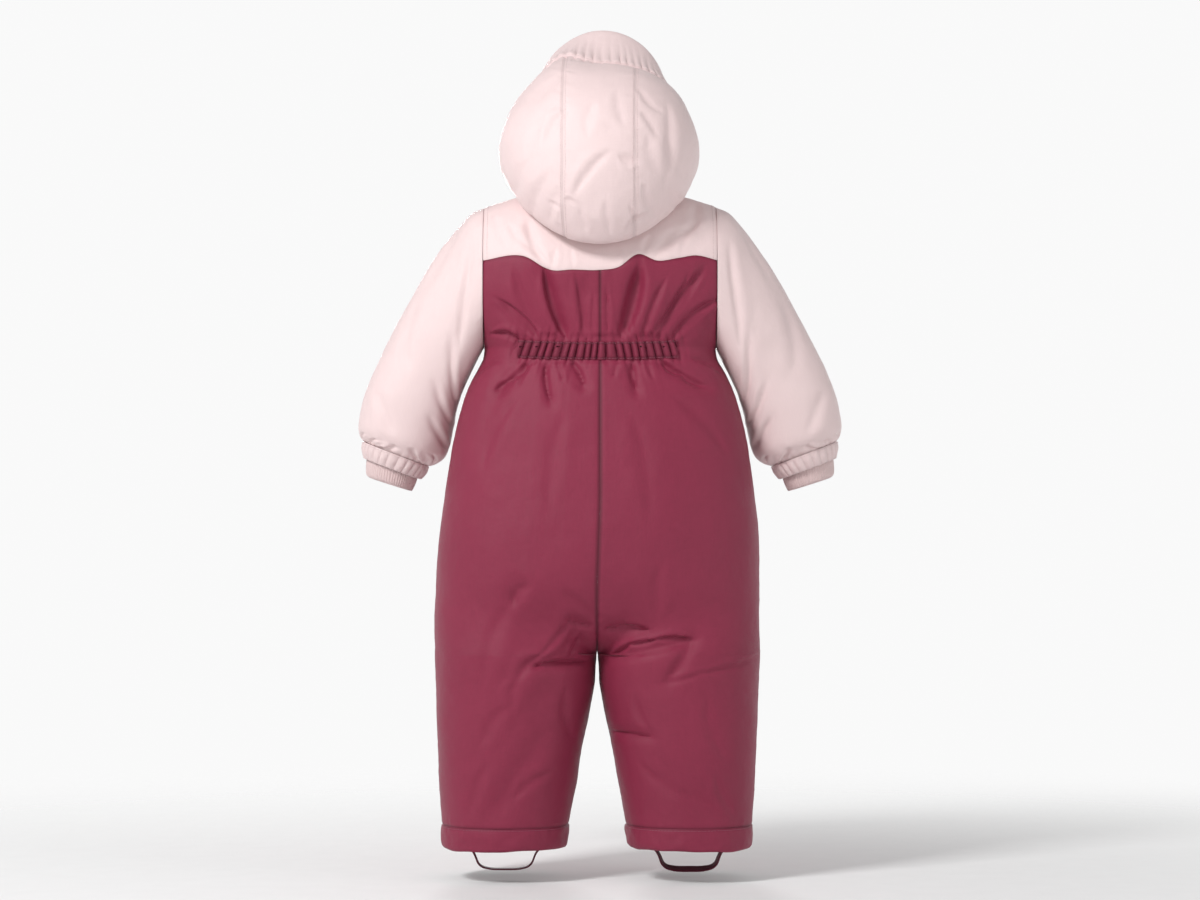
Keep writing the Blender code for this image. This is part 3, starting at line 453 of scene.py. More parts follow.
def hood_points(turn, ring):
    """turn is 0 at the middle of the back of the hood, 1 and -1 at the middle of the chin."""
    angle = turn * math.pi
    half_width = HOOD.read("half_width", ring)
    outer_y, chin_y = HOOD.read("outer_y", ring), HOOD.read("chin_y", ring)
    outer_z, chin_z = HOOD.read("outer_z", ring), HOOD.read("chin_z", ring)
    x = half_width * np.sin(angle) + HOOD.read("sway", ring) * (1 + np.cos(angle)) / 2
    y = (outer_y + chin_y) / 2 + (outer_y - chin_y) / 2 * np.cos(angle)
    z = (outer_z + chin_z) / 2 + (outer_z - chin_z) / 2 * np.cos(angle)
    in_corner = (turn > 0) & (turn < HOOD_CORNER)
    raised = np.where(in_corner, np.sin(turn / HOOD_CORNER * math.pi) ** 2, 0)
    z = z + HOOD.read("lift", ring) * np.sin(angle) ** 2 + HOOD.read("corner", ring) * raised
    _, neck = neck_level(x, y)
    z = z + smooth_step(1, 0, ring) * (neck + SEAM_GAP - z)
    return np.stack([x, y, z], axis=-1)


def hood(turn, ring):
    return hood_points(turn, ring), outward(hood_points, turn, ring)


def tube(table):
    """A sleeve or cuff from its slanting rings. turn is 0 outside and 0.5 under the arm."""

    def points(turn, ring):
        angle = turn * 2 * math.pi
        outer = np.stack([table.read("outer_x", ring), table.read("outer_z", ring)])
        inner = np.stack([table.read("inner_x", ring), table.read("inner_z", ring)])
        place = (outer + inner) / 2 + (outer - inner) / 2 * power(np.cos(angle), RING_SQUARENESS)
        deep = table.read("half_depth", ring) * power(np.sin(angle), RING_SQUARENESS)
        return np.stack([place[0], table.read("middle_y", ring) + deep, place[1]], axis=-1)

    return lambda turn, ring: (points(turn, ring), outward(points, turn, ring))


# %% [markdown]
# Padded polyester creases in its own way. A crease is a soft trough with a low ridge along one side,
# where the cloth is pushed up. It bows a little, and no two are alike. Each one below was placed one by one:
# where it starts and ends, how wide and deep it is, on which side its ridge lies, and how far it bows.

# %% Creases, placed one by one
# x0 z0 x1 z1 width depth ridge bow
BACK_CREASES = [
    (57, -78, 35, -147, 4.0, -2.8, -1, 3),
    (104, -108, 64, -147, 3.2, -2.4, -1, -3),
    (112, -142, 84, -149, 3.2, -2.2, 1, -3),
    (88, -80, 58, -143, 5.5, -1.3, -1, 4),
    (24, -86, 17, -144, 3.6, -1.4, -1, -2),
    (7, -100, 8, -146, 2.2, -0.9, -1, 0),
    (-7, -96, -8, -146, 2.4, -1.0, 1, 0),
    (-41, -72, -21, -146, 7.0, -3.0, 1, -3),
    (-66, -90, -44, -146, 3.8, -1.5, 1, 2),
    (-106, -78, -62, -143, 4.4, -2.8, 1, 3),
    (-120, -108, -76, -146, 4.2, -2.4, 1, 4),
    (-92, -82, -54, -143, 3.0, -1.2, 1, -3),
    (56, -172, 51, -212, 2.8, -1.5, 1, 2),
    (30, -171, 17, -196, 2.6, -1.4, -1, -2),
    (44, -171, 38, -192, 2.2, -1.0, 1, 0),
    (70, -170, 84, -196, 2.6, -1.1, -1, 2),
    (-18, -171, -14, -188, 2.2, -0.9, 1, 0),
    (-33, -171, -37, -200, 2.6, -1.4, 1, 1),
    (-47, -171, -54, -188, 2.2, -1.0, -1, 0),
    (-62, -168, -84, -184, 2.8, -1.7, 1, 3),
    (-84, -184, -108, -196, 2.8, -1.3, 1, 2),
    (76, -171, 96, -192, 2.6, -1.5, -1, -3),
    (96, -192, 108, -201, 2.6, -1.2, -1, 0),
    (108, -170, 132, -188, 3.4, -0.9, 1, 3),
    (-96, -168, -126, -182, 3.2, -0.9, -1, -3),
    (88, -212, 120, -276, 6.0, -1.0, 1, 5),
    (-80, -210, -128, -262, 6.5, -0.9, -1, -5),
    (40, -236, 52, -318, 8.0, -0.7, 1, 4),
    (-36, -232, -50, -330, 8.0, -0.7, -1, -4),
    (74, -402, 90, -420, 5.5, -1.3, 1, 3),
    (36, -407, -1, -436, 6.0, -0.9, 1, 3),
    (32, -438, 61, -473, 3.2, -1.2, 1, -2),
    (33, -438, 8, -444, 2.2, -1.5, -1, 1),
    (18, -451, 31, -475, 2.8, -1.1, -1, 0),
    (70, -486, 57, -482, 2.0, -1.6, 1, 0),
    (57, -482, 14, -482, 2.0, -1.8, 1, -1.5),
    (92, -420, 120, -500, 8.0, -1.0, 1, 6),
    (62, -474, 86, -500, 5.0, -1.4, -1, 3),
    (86, -500, 90, -528, 5.0, -1.2, -1, 2),
    (96, -528, 122, -566, 7.0, -0.9, 1, 4),
    (36, -512, 30, -560, 6.0, -0.8, 1, 3),
    (118, -590, 136, -640, 6.0, -0.9, 1, 2),
    (52, -596, 88, -622, 5.0, -0.9, -1, 3),
    (-5, -447, -24, -443, 2.4, -1.4, 1, 1),
    (-24, -443, -50, -448, 2.4, -1.3, 1, 0),
    (-14, -474, -30, -463, 2.6, -2.0, 1, 1),
    (-30, -463, -56, -458, 2.6, -2.2, 1, 1),
    (-56, -458, -94, -458, 2.4, -1.9, 1, -2),
    (-94, -460, -68, -500, 5.0, -1.4, -1, -3),
    (-62, -382, -60, -432, 7.0, -0.9, 1, 3),
    (-66, -502, -104, -492, 2.8, -1.1, 1, 2),
    (-104, -492, -160, -478, 2.8, -1.0, 1, 2),
    (-14, -556, -53, -558, 1.8, -1.2, 1, 0),
    (-36, -520, -48, -548, 4.5, -0.8, -1, 2),
    (-110, -520, -128, -580, 7.0, -0.9, -1, 4),
    (-44, -590, -92, -622, 6.0, -0.9, 1, 3),
    (-120, -600, -138, -638, 5.0, -0.8, -1, 2),
]
# x0 z0 x1 z1 width depth ridge bow
FRONT_CREASES = [
    (60, -84, 84, -150, 5.0, -1.0, 1, 4),
    (-62, -86, -88, -148, 5.0, -1.0, -1, -4),
    (108, -168, 70, -214, 5.0, -1.3, 1, 4),
    (-110, -172, -66, -220, 5.0, -1.2, -1, 4),
    (22, -250, 30, -330, 7.0, -0.8, 1, 3),
    (-24, -244, -34, -322, 7.0, -0.8, -1, -3),
    (40, -398, 94, -436, 4.5, -1.6, 1, 4),
    (-44, -396, -98, -440, 4.5, -1.5, -1, 4),
    (12, -430, 60, -462, 3.4, -1.2, -1, 2),
    (-10, -436, -58, -470, 3.4, -1.2, 1, 2),
    (26, -500, 106, -518, 3.8, -1.7, 1, 5),
    (-28, -506, -108, -520, 3.8, -1.6, 1, -5),
    (40, -528, 120, -552, 5.0, -1.0, -1, 4),
    (-44, -534, -116, -548, 5.0, -1.0, 1, 4),
    (60, -584, 70, -640, 6.0, -0.8, 1, 3),
    (-84, -580, -70, -636, 6.0, -0.8, -1, 3),
]


CREASE_RISE = 0.25
CREASE_OVERRUN = 0.18
CREASE_TAPER = 0.45
BANK_SHARE = 0.45
BANK_PLACE = 1.9
BANK_WIDTH = 1.3


def crease_shape(beside, width, ridge):
    """Across a crease: a trough, and a low bank on the side that ridge names."""
    return bell(beside, width) - BANK_SHARE * bell(beside - ridge * BANK_PLACE * width, BANK_WIDTH * width)


def bowed(beside, along, bow):
    """The distance from a run that bows sideways in its middle."""
    return beside + bow * 4 * along * (1 - along)


def crease_height(point, creases):
    """Height of the creases at each point, seen straight on."""
    total = np.zeros(point.shape[:-1])
    for x0, z0, x1, z1, width, depth, ridge, bow in creases:
        along, beside = beside_run(point[..., [0, 2]] - np.array([x0, z0]), np.array([x1 - x0, z1 - z0]))
        narrow = width * (1 - CREASE_TAPER + CREASE_TAPER * np.sin(np.clip(along, 0, 1) * math.pi))
        shape = crease_shape(bowed(beside, along, bow), narrow, ridge)
        total += depth * faded_ends(along, CREASE_OVERRUN, CREASE_RISE) * shape
    return total


print(len(BACK_CREASES), "creases on the back,", len(FRONT_CREASES), "on the front")

# %% [markdown]
# Between the creases the cloth is never quite flat. Smooth noise, a grid of random heights read between
# its points, gives the soft unevenness of the filling. One seed keeps it the same each time.

# %% Soft unevenness
GRAIN = np.random.default_rng(11).random((24, 24, 24))


def unevenness(point, size):
    """Smooth noise from -1 to 1 over points, with bumps of about the given size."""
    place = point / size + 1000
    cell = np.floor(place).astype(int)
    t = place - cell
    t = t * t * (3 - 2 * t)
    total = np.zeros(point.shape[:-1])
    for corner in range(8):
        step = np.array([corner & 1, corner >> 1 & 1, corner >> 2 & 1])
        at = (cell + step) % len(GRAIN)
        weight = np.prod(np.where(step == 1, t, 1 - t), axis=-1)
        total += weight * GRAIN[at[..., 0], at[..., 1], at[..., 2]]
    return total * 2 - 1


def uneven_line(along, size, row):
    """Smooth noise from -1 to 1 along one line."""
    along = np.asarray(along, float)
    place = [along, np.full_like(along, row * size * 2.37), np.full_like(along, size * 0.4)]
    return unevenness(np.stack(place, axis=-1), size)


def filling(point):
    """The padding's own soft ups and downs: a height and a size for the slow ones, and for the small ones."""
    return 0.8 * unevenness(point, 34) + 0.3 * unevenness(point, 13)


# %% [markdown]
# A thin elastic inside a casing draws the cloth up into puckers. Each pucker is a small puff with a sharp
# valley on both sides. The valleys lie close together, but never evenly, and they lean.


# %% Puckers
# The valleys wander slowly and quickly from an even pitch, and the puffs differ in height.
SLOW_WANDER = 0.34
QUICK_WANDER = 0.16
LEAST_PUFF = 0.78
PUFF_SHARPNESS = 0.62
GATHER_LEVEL = 0.7


def puffs(along, pitch, row):
    """Puffs with sharp valleys between them, from 0 in a valley to 1 on a puff."""
    slow, quick = uneven_line(along, 2.6 * pitch, row), uneven_line(along, 1.1 * pitch, row + 3)
    phase = along / pitch + SLOW_WANDER * slow + QUICK_WANDER * quick
    swell = LEAST_PUFF + (1 - LEAST_PUFF) * uneven_line(along, 1.7 * pitch, row + 7)
    return np.abs(np.sin(phase * math.pi)) ** PUFF_SHARPNESS * swell


def gathers(along, away, pitch, reach, row):
    """Fine folds that run away from an elastic and die out over the given reach."""
    length = reach * (0.65 + 0.55 * uneven_line(along, 3.1 * pitch, row + 1))
    fade = np.exp(-np.clip(away, 0, None) / np.maximum(length, 2))
    return fade * (puffs(along, pitch, row) - GATHER_LEVEL)


# %% [markdown]
# Every finish is built from shader nodes. Adding nodes by hand is long-winded, so one small class wraps a
# socket and lets sums be written as sums. A recipe makes any node from its type, settings and inputs.


# %% Shader sums
class Wire:
    """A shader value that takes part in sums."""

    def __init__(self, recipe, socket):
        self.recipe = recipe
        self.socket = socket

    def combine(self, operation, first, second=None):
        values = {0: first}
        if second is not None:
            values[1] = second
        return self.recipe.node("ShaderNodeMath", {"operation": operation}, values)

    def __add__(self, other):
        return self.combine("ADD", self, other)

    def __radd__(self, other):
        return self.combine("ADD", other, self)

    def __sub__(self, other):
        return self.combine("SUBTRACT", self, other)

    def __rsub__(self, other):
        return self.combine("SUBTRACT", other, self)

    def __mul__(self, other):
        return self.combine("MULTIPLY", self, other)

    def __rmul__(self, other):
        return self.combine("MULTIPLY", other, self)

    def sine(self):
        return self.combine("SINE", self)

    def size(self):
        return self.combine("ABSOLUTE", self)


class Recipe:
    """A material under construction."""

    def __init__(self, name, fixed):
        self.material = bpy.data.materials.new(name)
        self.material.use_nodes = True
        self.tree = self.material.node_tree
        self.shader = self.tree.nodes["Principled BSDF"]
        for key, value in fixed.items():
            self.shader.inputs[key].default_value = value

    def node(self, kind, settings, values, output=0):
        made = self.tree.nodes.new(kind)
        for key, value in settings.items():
            setattr(made, key, value)
        for key, value in values.items():
            self.feed(made.inputs[key], value)
        return Wire(self, made.outputs[output])

    def feed(self, socket, value):
        if isinstance(value, Wire):
            self.tree.links.new(value.socket, socket)
        else:
            socket.default_value = value

    def noise(self, where, scale, detail=2.0):
        values = {"Vector": where, "Scale": scale, "Detail": detail}
        return self.node("ShaderNodeTexNoise", {}, values)

    def mix(self, share, first, second):
        values = {0: share, 6: first, 7: second}
        return self.node("ShaderNodeMix", {"data_type": "RGBA"}, values, 2)

    def stretched(self, where, amounts):
        return self.node("ShaderNodeVectorMath", {"operation": "MULTIPLY"}, {0: where, 1: amounts})

    def finish(self, colour, roughness, height, depth):
        """Connects the colour, the roughness and a relief of the given depth in metres."""
        self.feed(self.shader.inputs["Base Color"], colour)
        self.feed(self.shader.inputs["Roughness"], roughness)
        relief = self.node("ShaderNodeBump", {}, {"Height": height, "Distance": depth, "Strength": 1.0})
        self.feed(self.shader.inputs["Normal"], relief)
        return self.material


# %% [markdown]
# The outer cloth is a tight plain weave of polyester. Threads run across and down, about two in a
# millimetre, and catch the light as a faint sheen. Dye takes unevenly on the threads, so the colour has
# fine streaks along them and slow clouds over the panel. Close to a seam, and in the valleys between
# puckers, the colour is darkened as painted shade.


# %% Woven cloth
def toned(colour, share):
    """A colour made darker or lighter, with the fourth number that a shader takes."""
    return tuple(min(1.0, part * share) for part in colour) + (1.0,)


def woven(name, colour, shade, roughness, sheen, thread=0.55, seam_shade_depth=0.15):
    """A woven finish. shade is how much darker its darkest parts are, thread the threads' spacing.

    The last argument sets how far the colour is darkened along seams and in pucker valleys: painted shade.
    """
    recipe = Recipe(name, {"Sheen Weight": sheen, "Sheen Roughness": 0.35, "Specular IOR Level": 0.28})
    place = recipe.node("ShaderNodeUVMap", {"uv_map": "cloth"}, {})
    space = recipe.node("ShaderNodeTexCoord", {}, {}, 3)
    across = recipe.node("ShaderNodeSeparateXYZ", {}, {0: place}, 0)
    down = recipe.node("ShaderNodeSeparateXYZ", {}, {0: place}, 1)
    turns = 2 * math.pi / (thread * MM)
    weave = (across * turns).sine() * (down * turns).sine() * 0.5 + 0.5
    streak_down = recipe.noise(recipe.stretched(place, (1600.0, 60.0, 1.0)), 1.0)
    streak_across = recipe.noise(recipe.stretched(place, (60.0, 1600.0, 1.0)), 1.0)
    clouds = recipe.noise(space, 9.0)
    crumple = recipe.noise(space, 95.0, 3.0)
    # The seam layer holds painted shade: how much the colour darkens along seams and in pucker valleys.
    seam = recipe.node("ShaderNodeAttribute", {"attribute_name": "seam"}, {}, 2)
    streaks = (streak_down + streak_across) * 0.5
    # Clouds and streaks are the dye's own uneven tone; the seam term subtracts painted shade.
    tone = (clouds - 0.5) * 0.5 + (streaks - 0.5) * 0.9 + 0.5 - seam * 0.45
    cloth = recipe.mix(tone, toned(colour, 1 - shade), toned(colour, 1 + shade * 0.6))
    # Painted shade: near seams and in pucker valleys the colour is mixed towards a dark copy of itself.
    tint = recipe.mix(seam * seam_shade_depth, cloth, toned(colour, 0.35))
    rough = roughness + (streaks - 0.5) * 0.25 + (clouds - 0.5) * 0.1
    height = weave * 0.10 + streaks * 0.10 + crumple * 0.80
    return recipe.finish(tint, rough, height, 0.55 * MM)


burgundy = woven("burgundy_weave", (0.258, 0.025, 0.062), 0.28, 0.50, 0.07, seam_shade_depth=0.8)
pink = woven("pink_weave", (0.85, 0.675, 0.67), 0.08, 0.42, 0.08, thread=0.45)
lining = woven("pink_lining", (0.80, 0.62, 0.63), 0.10, 0.55, 0.15, thread=0.45)
body_lining = woven("burgundy_lining", (0.20, 0.022, 0.050), 0.20, 0.60, 0.10, thread=0.45)
webbing = woven("strap_webbing", (0.150, 0.022, 0.045), 0.35, 0.65, 0.30, thread=0.9)
print("woven finishes", burgundy.name, pink.name, lining.name, body_lining.name, webbing.name)

# %% [markdown]
# The cuffs are rib knit. Its ribs are real relief in the mesh, and the finish adds the small loops of the
# stitches along each rib, as chevrons, and a matt, slightly fuzzy surface.


# %% Knit, thread, zip and enamel
def knitted(name, colour):
    recipe = Recipe(name, {"Sheen Weight": 0.5, "Sheen Roughness": 0.6, "Specular IOR Level": 0.2})
    place = recipe.node("ShaderNodeUVMap", {"uv_map": "cloth"}, {})
    across = recipe.node("ShaderNodeSeparateXYZ", {}, {0: place}, 0)
    down = recipe.node("ShaderNodeSeparateXYZ", {}, {0: place}, 1)
    zigzag = (across * (2 * math.pi / (1.3 * MM))).sine().size() * (0.35 * MM)
    loops = ((down + zigzag) * (2 * math.pi / (0.9 * MM))).sine() * 0.5 + 0.5
    fuzz = recipe.noise(recipe.node("ShaderNodeTexCoord", {}, {}, 3), 700.0)
    # The colour is darker where the loops' relief dips: painted shade between the loops. The fuzz is the yarn's own
    # uneven tone.
    tone = loops * 0.5 + fuzz * 0.5
    tint = recipe.mix(tone, toned(colour, 0.86), toned(colour, 1))
    return recipe.finish(tint, 0.85 + fuzz * 0.1, loops * 0.6 + fuzz * 0.4, 0.35 * MM)


def twisted(name, colour, roughness):
    """Sewing thread: tight slanting twist."""
    recipe = Recipe(name, {"Sheen Weight": 0.3, "Specular IOR Level": 0.4})
    space = recipe.node("ShaderNodeTexCoord", {}, {}, 3)
    fuzz = recipe.noise(space, 1500.0)
    tint = recipe.mix(fuzz, toned(colour, 0.75), toned(colour, 1))
    return recipe.finish(tint, roughness + fuzz * 0.1, fuzz, 0.1 * MM)


def moulded(name, colour, roughness, metallic):
    """Enamelled metal or moulded plastic, with faint scuffs."""
    recipe = Recipe(name, {"Specular IOR Level": 0.5, "Coat Roughness": 0.2})
    space = recipe.node("ShaderNodeTexCoord", {}, {}, 3)
    scuffs = recipe.noise(recipe.stretched(space, (400.0, 400.0, 2200.0)), 1.0, 4.0)
    recipe.shader.inputs["Metallic"].default_value = metallic
    tint = recipe.mix(scuffs, toned(colour, 1), toned(colour, 1.15))
    return recipe.finish(tint, roughness + scuffs * 0.2, scuffs, 0.04 * MM)


knit = knitted("pink_rib_knit", (0.88, 0.66, 0.65))
burgundy_thread = twisted("burgundy_thread", (0.30, 0.055, 0.105), 0.5)
pink_thread = twisted("pink_thread", (0.84, 0.66, 0.66), 0.5)
tape_cloth = woven("zip_tape_weave", (0.72, 0.50, 0.52), 0.15, 0.6, 0.2, thread=0.8)
teeth_plastic = moulded("zip_teeth_plastic", (0.74, 0.50, 0.53), 0.35, 0.0)
enamel = moulded("slider_enamel", (0.74, 0.50, 0.53), 0.22, 0.35)
print("small finishes", knit.name, burgundy_thread.name, pink_thread.name, enamel.name)

# Outside, inside and slot of each kind of piece.
PADDED_BURGUNDY = (burgundy, body_lining, "burgundy_cloth")
PLAIN_BURGUNDY = (burgundy, burgundy, "burgundy_cloth")
PADDED_PINK = (pink, lining, "pink_cloth")
RIB_KNIT = (knit, knit, "pink_knit")
ZIP_TAPE = (tape_cloth, tape_cloth, "zip_chain")
STRAP_WEBBING = (webbing, webbing, "burgundy_cloth")

# %% [markdown]
# One function turns a grid of points into a shell of cloth with an outside, an inside and a rolled edge.
# The outside is the panel's surface with all its relief. Close to a sewn edge the cloth rolls down into
# the seam and puckers a little between stitches, which makes seams read as seams. Its colour is also
# darkened there, as painted shade.

# %% Cloth shells
GRIDS = {}
ROLL_DEPTH = 0.9
SOFT_ROLL_DEPTH = 0.5
ROLL_REACH = 1.7
SEAM_PUCKER = 0.32
SEAM_WAVE = 4.125
PUCKER_REACH = 9.0
SHADE_REACH = 1.5
CLOSED_GAP = 0.02
CENTRE_REACH = 8.0
FORK_OPENING = 14.0
# How far the cloth thins in the corner of the fork, and how far up and out from it.
FORK_THIN = 0.92
FORK_THIN_UP = 7.0
FORK_THIN_OUT = 45.0
SHARP_CLOTH = 55
SEAM_SHADE = {"top": 0.4, "bottom": 0.6, "first": 1.0, "last": 0.5}


def run_lengths(points, axis):
    """Length of cloth from the first row or column to each point."""
    steps = np.linalg.norm(np.diff(points, axis=axis), axis=-1)
    total = np.cumsum(steps, axis=axis)
    pad = [(0, 0), (0, 0)]
    pad[axis] = (1, 0)
    return np.pad(total, pad)


def edge_distances(points, sewn, closed):
    """Distance to the nearest sewn edge and the way along it. sewn names the edges: top bottom first last."""
    across, down = run_lengths(points, 1), run_lengths(points, 0)
    found = {"top": (down, across), "bottom": (down[-1:] - down, across)}
    if not closed:
        found["first"] = (across, down)
        found["last"] = (across[:, -1:] - across, down)
    return [found[name] for name in sewn.split()]


def seam_relief(points, sewn, closed, pucker=SEAM_PUCKER, roll=ROLL_DEPTH):
    """Relief along sewn edges, and the painted shade that each point takes from them, from 0 to 1."""
    height = np.zeros(points.shape[:2])
    near = np.zeros(points.shape[:2])
    for row, (name, (away, along)) in enumerate(zip(sewn.split(), edge_distances(points, sewn, closed))):
        height -= roll * bell(away, ROLL_REACH)
        wave = uneven_line(along, SEAM_WAVE, row)
        height += pucker * wave * bell(away, PUCKER_REACH) * smooth_step(0, 3, away)
        near = np.maximum(near, SEAM_SHADE[name] * bell(away, SHADE_REACH))
    return height, near


def new_mesh(name, points, faces, finishes):
    """A mesh in metres from points in millimetres."""
    mesh = bpy.data.meshes.new(name)
    mesh.from_pydata((points.reshape(-1, 3) * MM).tolist(), [], faces)
    for finish in finishes:
        mesh.materials.append(finish)
    return mesh


def placed(mesh, sharp_angle):
    """Shades a mesh smooth up to an angle and puts it into the scene."""
    mesh.shade_smooth()
    mesh.set_sharp_from_angle(angle=math.radians(sharp_angle))
    piece = bpy.data.objects.new(mesh.name, mesh)
    bpy.context.scene.collection.objects.link(piece)
    return piece


def mesh_piece(name, points, faces, corner_uv, finishes, face_material, near):
    mesh = new_mesh(name, points, faces.tolist(), finishes)
    mesh.polygons.foreach_set("material_index", face_material)
    layer = mesh.uv_layers.new(name="cloth")
    layer.data.foreach_set("uv", (corner_uv * MM).ravel())
    # The seam layer darkens the colour in the finishes: painted shade along seams and in pucker valleys.
    closeness = mesh.attributes.new("seam", "FLOAT", "POINT")
    closeness.data.foreach_set("value", near)
    tidy = bmesh.new()
    tidy.from_mesh(mesh)
    bmesh.ops.recalc_face_normals(tidy, faces=tidy.faces)
    tidy.to_mesh(mesh)
    tidy.free()
    return placed(mesh, SHARP_CLOTH)


def shell(name, outer, inner, finish, inside, near=None, closed=False):
    """A closed shell between two grids of points. closed joins its last column to its first."""
    rows, columns = outer.shape[:2]
    index = np.arange(rows * columns).reshape(rows, columns)
    if closed:
        index = np.concatenate([index, index[:, :1]], axis=1)
    a, b = index[:-1, :-1].ravel(), index[:-1, 1:].ravel()
    c, d = index[1:, 1:].ravel(), index[1:, :-1].ravel()
    deep = rows * columns
    outside = np.stack([a, b, c, d], axis=1)
    faces = [outside, np.stack([a, d, c, b], axis=1) + deep]
    rims = [index[0], index[-1, ::-1]]
    if not closed:
        rims += [index[::-1, 0], index[:, -1]]
    for rim in rims:
        faces.append(np.stack([rim[1:], rim[:-1], rim[:-1] + deep, rim[1:] + deep], axis=1))
    faces = np.concatenate(faces)
    across, down = run_lengths(outer, 1), run_lengths(outer, 0)
    place = np.stack([across, down], axis=-1)
    if closed:
        loop = across[:, -1:] + np.linalg.norm(outer[:, -1:] - outer[:, :1], axis=-1)
        wide = np.concatenate([place, np.stack([loop, down[:, :1]], axis=-1)], axis=1)
    else:
        wide = place
    grid = [wide[:-1, :-1], wide[:-1, 1:], wide[1:, 1:], wide[1:, :-1]]
    grid = [part.reshape(-1, 2) for part in grid]
    corners = [np.stack(grid, axis=1), np.stack([grid[0], grid[3], grid[2], grid[1]], axis=1)]
    flat = place.reshape(-1, 2)
    rest = faces[2 * len(outside):] % deep
    corners.append(flat[rest])
    corner_uv = np.concatenate([part.reshape(-1, 2) for part in corners])
    points = np.concatenate([outer.reshape(-1, 3), inner.reshape(-1, 3)])
    face_material = np.zeros(len(faces), int)
    face_material[len(outside):2 * len(outside)] = 1
    close = np.zeros(rows * columns) if near is None else near.ravel()
    close = np.concatenate([close, close * 0])
    return mesh_piece(name, points, faces, corner_uv, [finish, inside], face_material, close)


def sew(name, node, outer, inner, cloth, out=None, near=None, closed=False):
    """Makes a piece of cloth that stands for its solid and rides on the suit.

    cloth is its finish outside, its finish inside and its slot. out is kept with the outer points for the stitch
    lines.
    """
    finish, inside, slot = cloth
    piece = shell(name, outer, inner, finish, inside, near, closed)
    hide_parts(node)
    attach(piece, "suit")
    GRIDS[node] = (outer, out)


# %% [markdown]
# The back and front panels run from the yokes to the hems, body and leg in one. Their grids are finer
# near the waist elastic and the crotch, where the cloth does most. The waist elastic lies on the back
# only: the panels dip under its casing, and fine gathers run away from it up and down.


# %% Grids for the panels
PANEL_FIRST = -86.0
WAIST_END = -215.0


def fork_levels(count):
    """Levels that crowd together near the crotch, where its seam lies flat."""
    shares = np.sin(spaced(0, 1, count) * math.pi / 2)
    return FORK_START - (FORK_START - CROTCH) * shares


def panel_levels(top, counts):
    """Rows of a body panel, from its seam at the top down to the hem stitches.

    counts says how many of them lie at the waist, the seat, the fork and the leg.
    """
    waist_rows, seat_rows, fork_rows, leg_rows = counts
    waist = spaced(PANEL_FIRST, WAIST_END, waist_rows)
    seat = spaced(WAIST_END, FORK_START, seat_rows)[1:]
    legs = spaced(CROTCH, HEM_STITCH + CLOSED_GAP, leg_rows)[1:]
    levels = np.concatenate([waist, seat, fork_levels(fork_rows)[1:], legs])
    shares = spaced(0, 1, 7)[:-1, None]
    near_top = top[None, :] * (1 - shares) + PANEL_FIRST * shares
    return np.concatenate([near_top, np.repeat(levels[:, None], len(top), axis=1)])


CREASE_STRENGTH = 1.8
PUFF_PITCH = 8.1
WAIST_LEAN = 6.0
WAIST_GATHER = 3.0
GATHER_OVERRUN = 16.0
PRESSED = 1.5


def casing_bow(x):
    """How far the waist casing sags at x."""
    return CASING_BOW * (1 - (x / CASING_LEFT) ** 2)


def within_waist(x, overrun=GATHER_OVERRUN):
    """1 between the casing's ends and 0 away from them."""
    left = smooth_step(CASING_LEFT + overrun, CASING_LEFT - 4, x)
    return left * smooth_step(CASING_RIGHT - overrun, CASING_RIGHT + 4, x)


def waist_lean(x):
    """How far a pucker leans between the two edges of the casing."""
    return WAIST_LEAN * (0.6 - 1.6 * smooth_step(-20, 35, x) + 0.5 * uneven_line(x, 22, 6))


def back_relief(point):
    """All relief of the back panels: creases, gathers at the elastic and the padding."""
    x, z = point[..., 0], point[..., 2]
    high = CASING_TOP - casing_bow(x)
    low = high - CASING_HEIGHT
    lean, spread = waist_lean(x) / 2, 0.25 * np.sign(x)
    above = gathers(x - lean + spread * (z - high), z - high, PUFF_PITCH, 17, 4)
    below = gathers(x + lean - spread * (low - z), low - z, PUFF_PITCH, 15, 4)
    folds = WAIST_GATHER * within_waist(x) * np.where(z > (high + low) / 2, above, below)
    folds = folds + CREASE_STRENGTH * crease_height(point, BACK_CREASES) + filling(point)
    covered = smooth_step(high - 1, high - 4, z) * smooth_step(low + 1, low + 4, z) * within_waist(x, 0)
    return folds * (1 - covered) - PRESSED * covered


def front_relief(point):
    return CREASE_STRENGTH * crease_height(point, FRONT_CREASES) + filling(point)


def lay_cloth(surface, turns, rows, relief, sewn, shift, centre=False, roll=ROLL_DEPTH):
    """Outer and inner points of a cloth with its relief, and its outward directions.

    At a centre seam both halves meet and move straight in.
    """
    base, out = surface(turns, rows)
    base = base + np.array(shift)
    if centre:
        beside_seam = bell(run_lengths(base, 1), CENTRE_REACH)
        meeting = smooth_step(CROTCH - FORK_OPENING, CROTCH, base[..., 2]) * beside_seam
        apart = base[:, :1, 0] - lower_sway(rows[:, :1]) - shift[0]
        base[..., 0] -= apart * meeting * (np.abs(apart) < SHELL_WALL)
        above_fork = smooth_step(CROTCH - 0.5, CROTCH + 0.5, base[..., 2])
        out[..., 0] *= 1 - above_fork * beside_seam
    edge, near = seam_relief(base, sewn, False, roll=roll)
    outer = moved(base, out, relief(base) + edge)
    wall = np.full(edge.shape, SHELL_WALL)
    if centre:
        corner = bell(base[..., 2] - CROTCH, FORK_THIN_UP) * bell(run_lengths(base, 1), FORK_THIN_OUT)
        wall = wall * (1 - FORK_THIN * corner)
    return outer, moved(outer, out, -wall), near, out


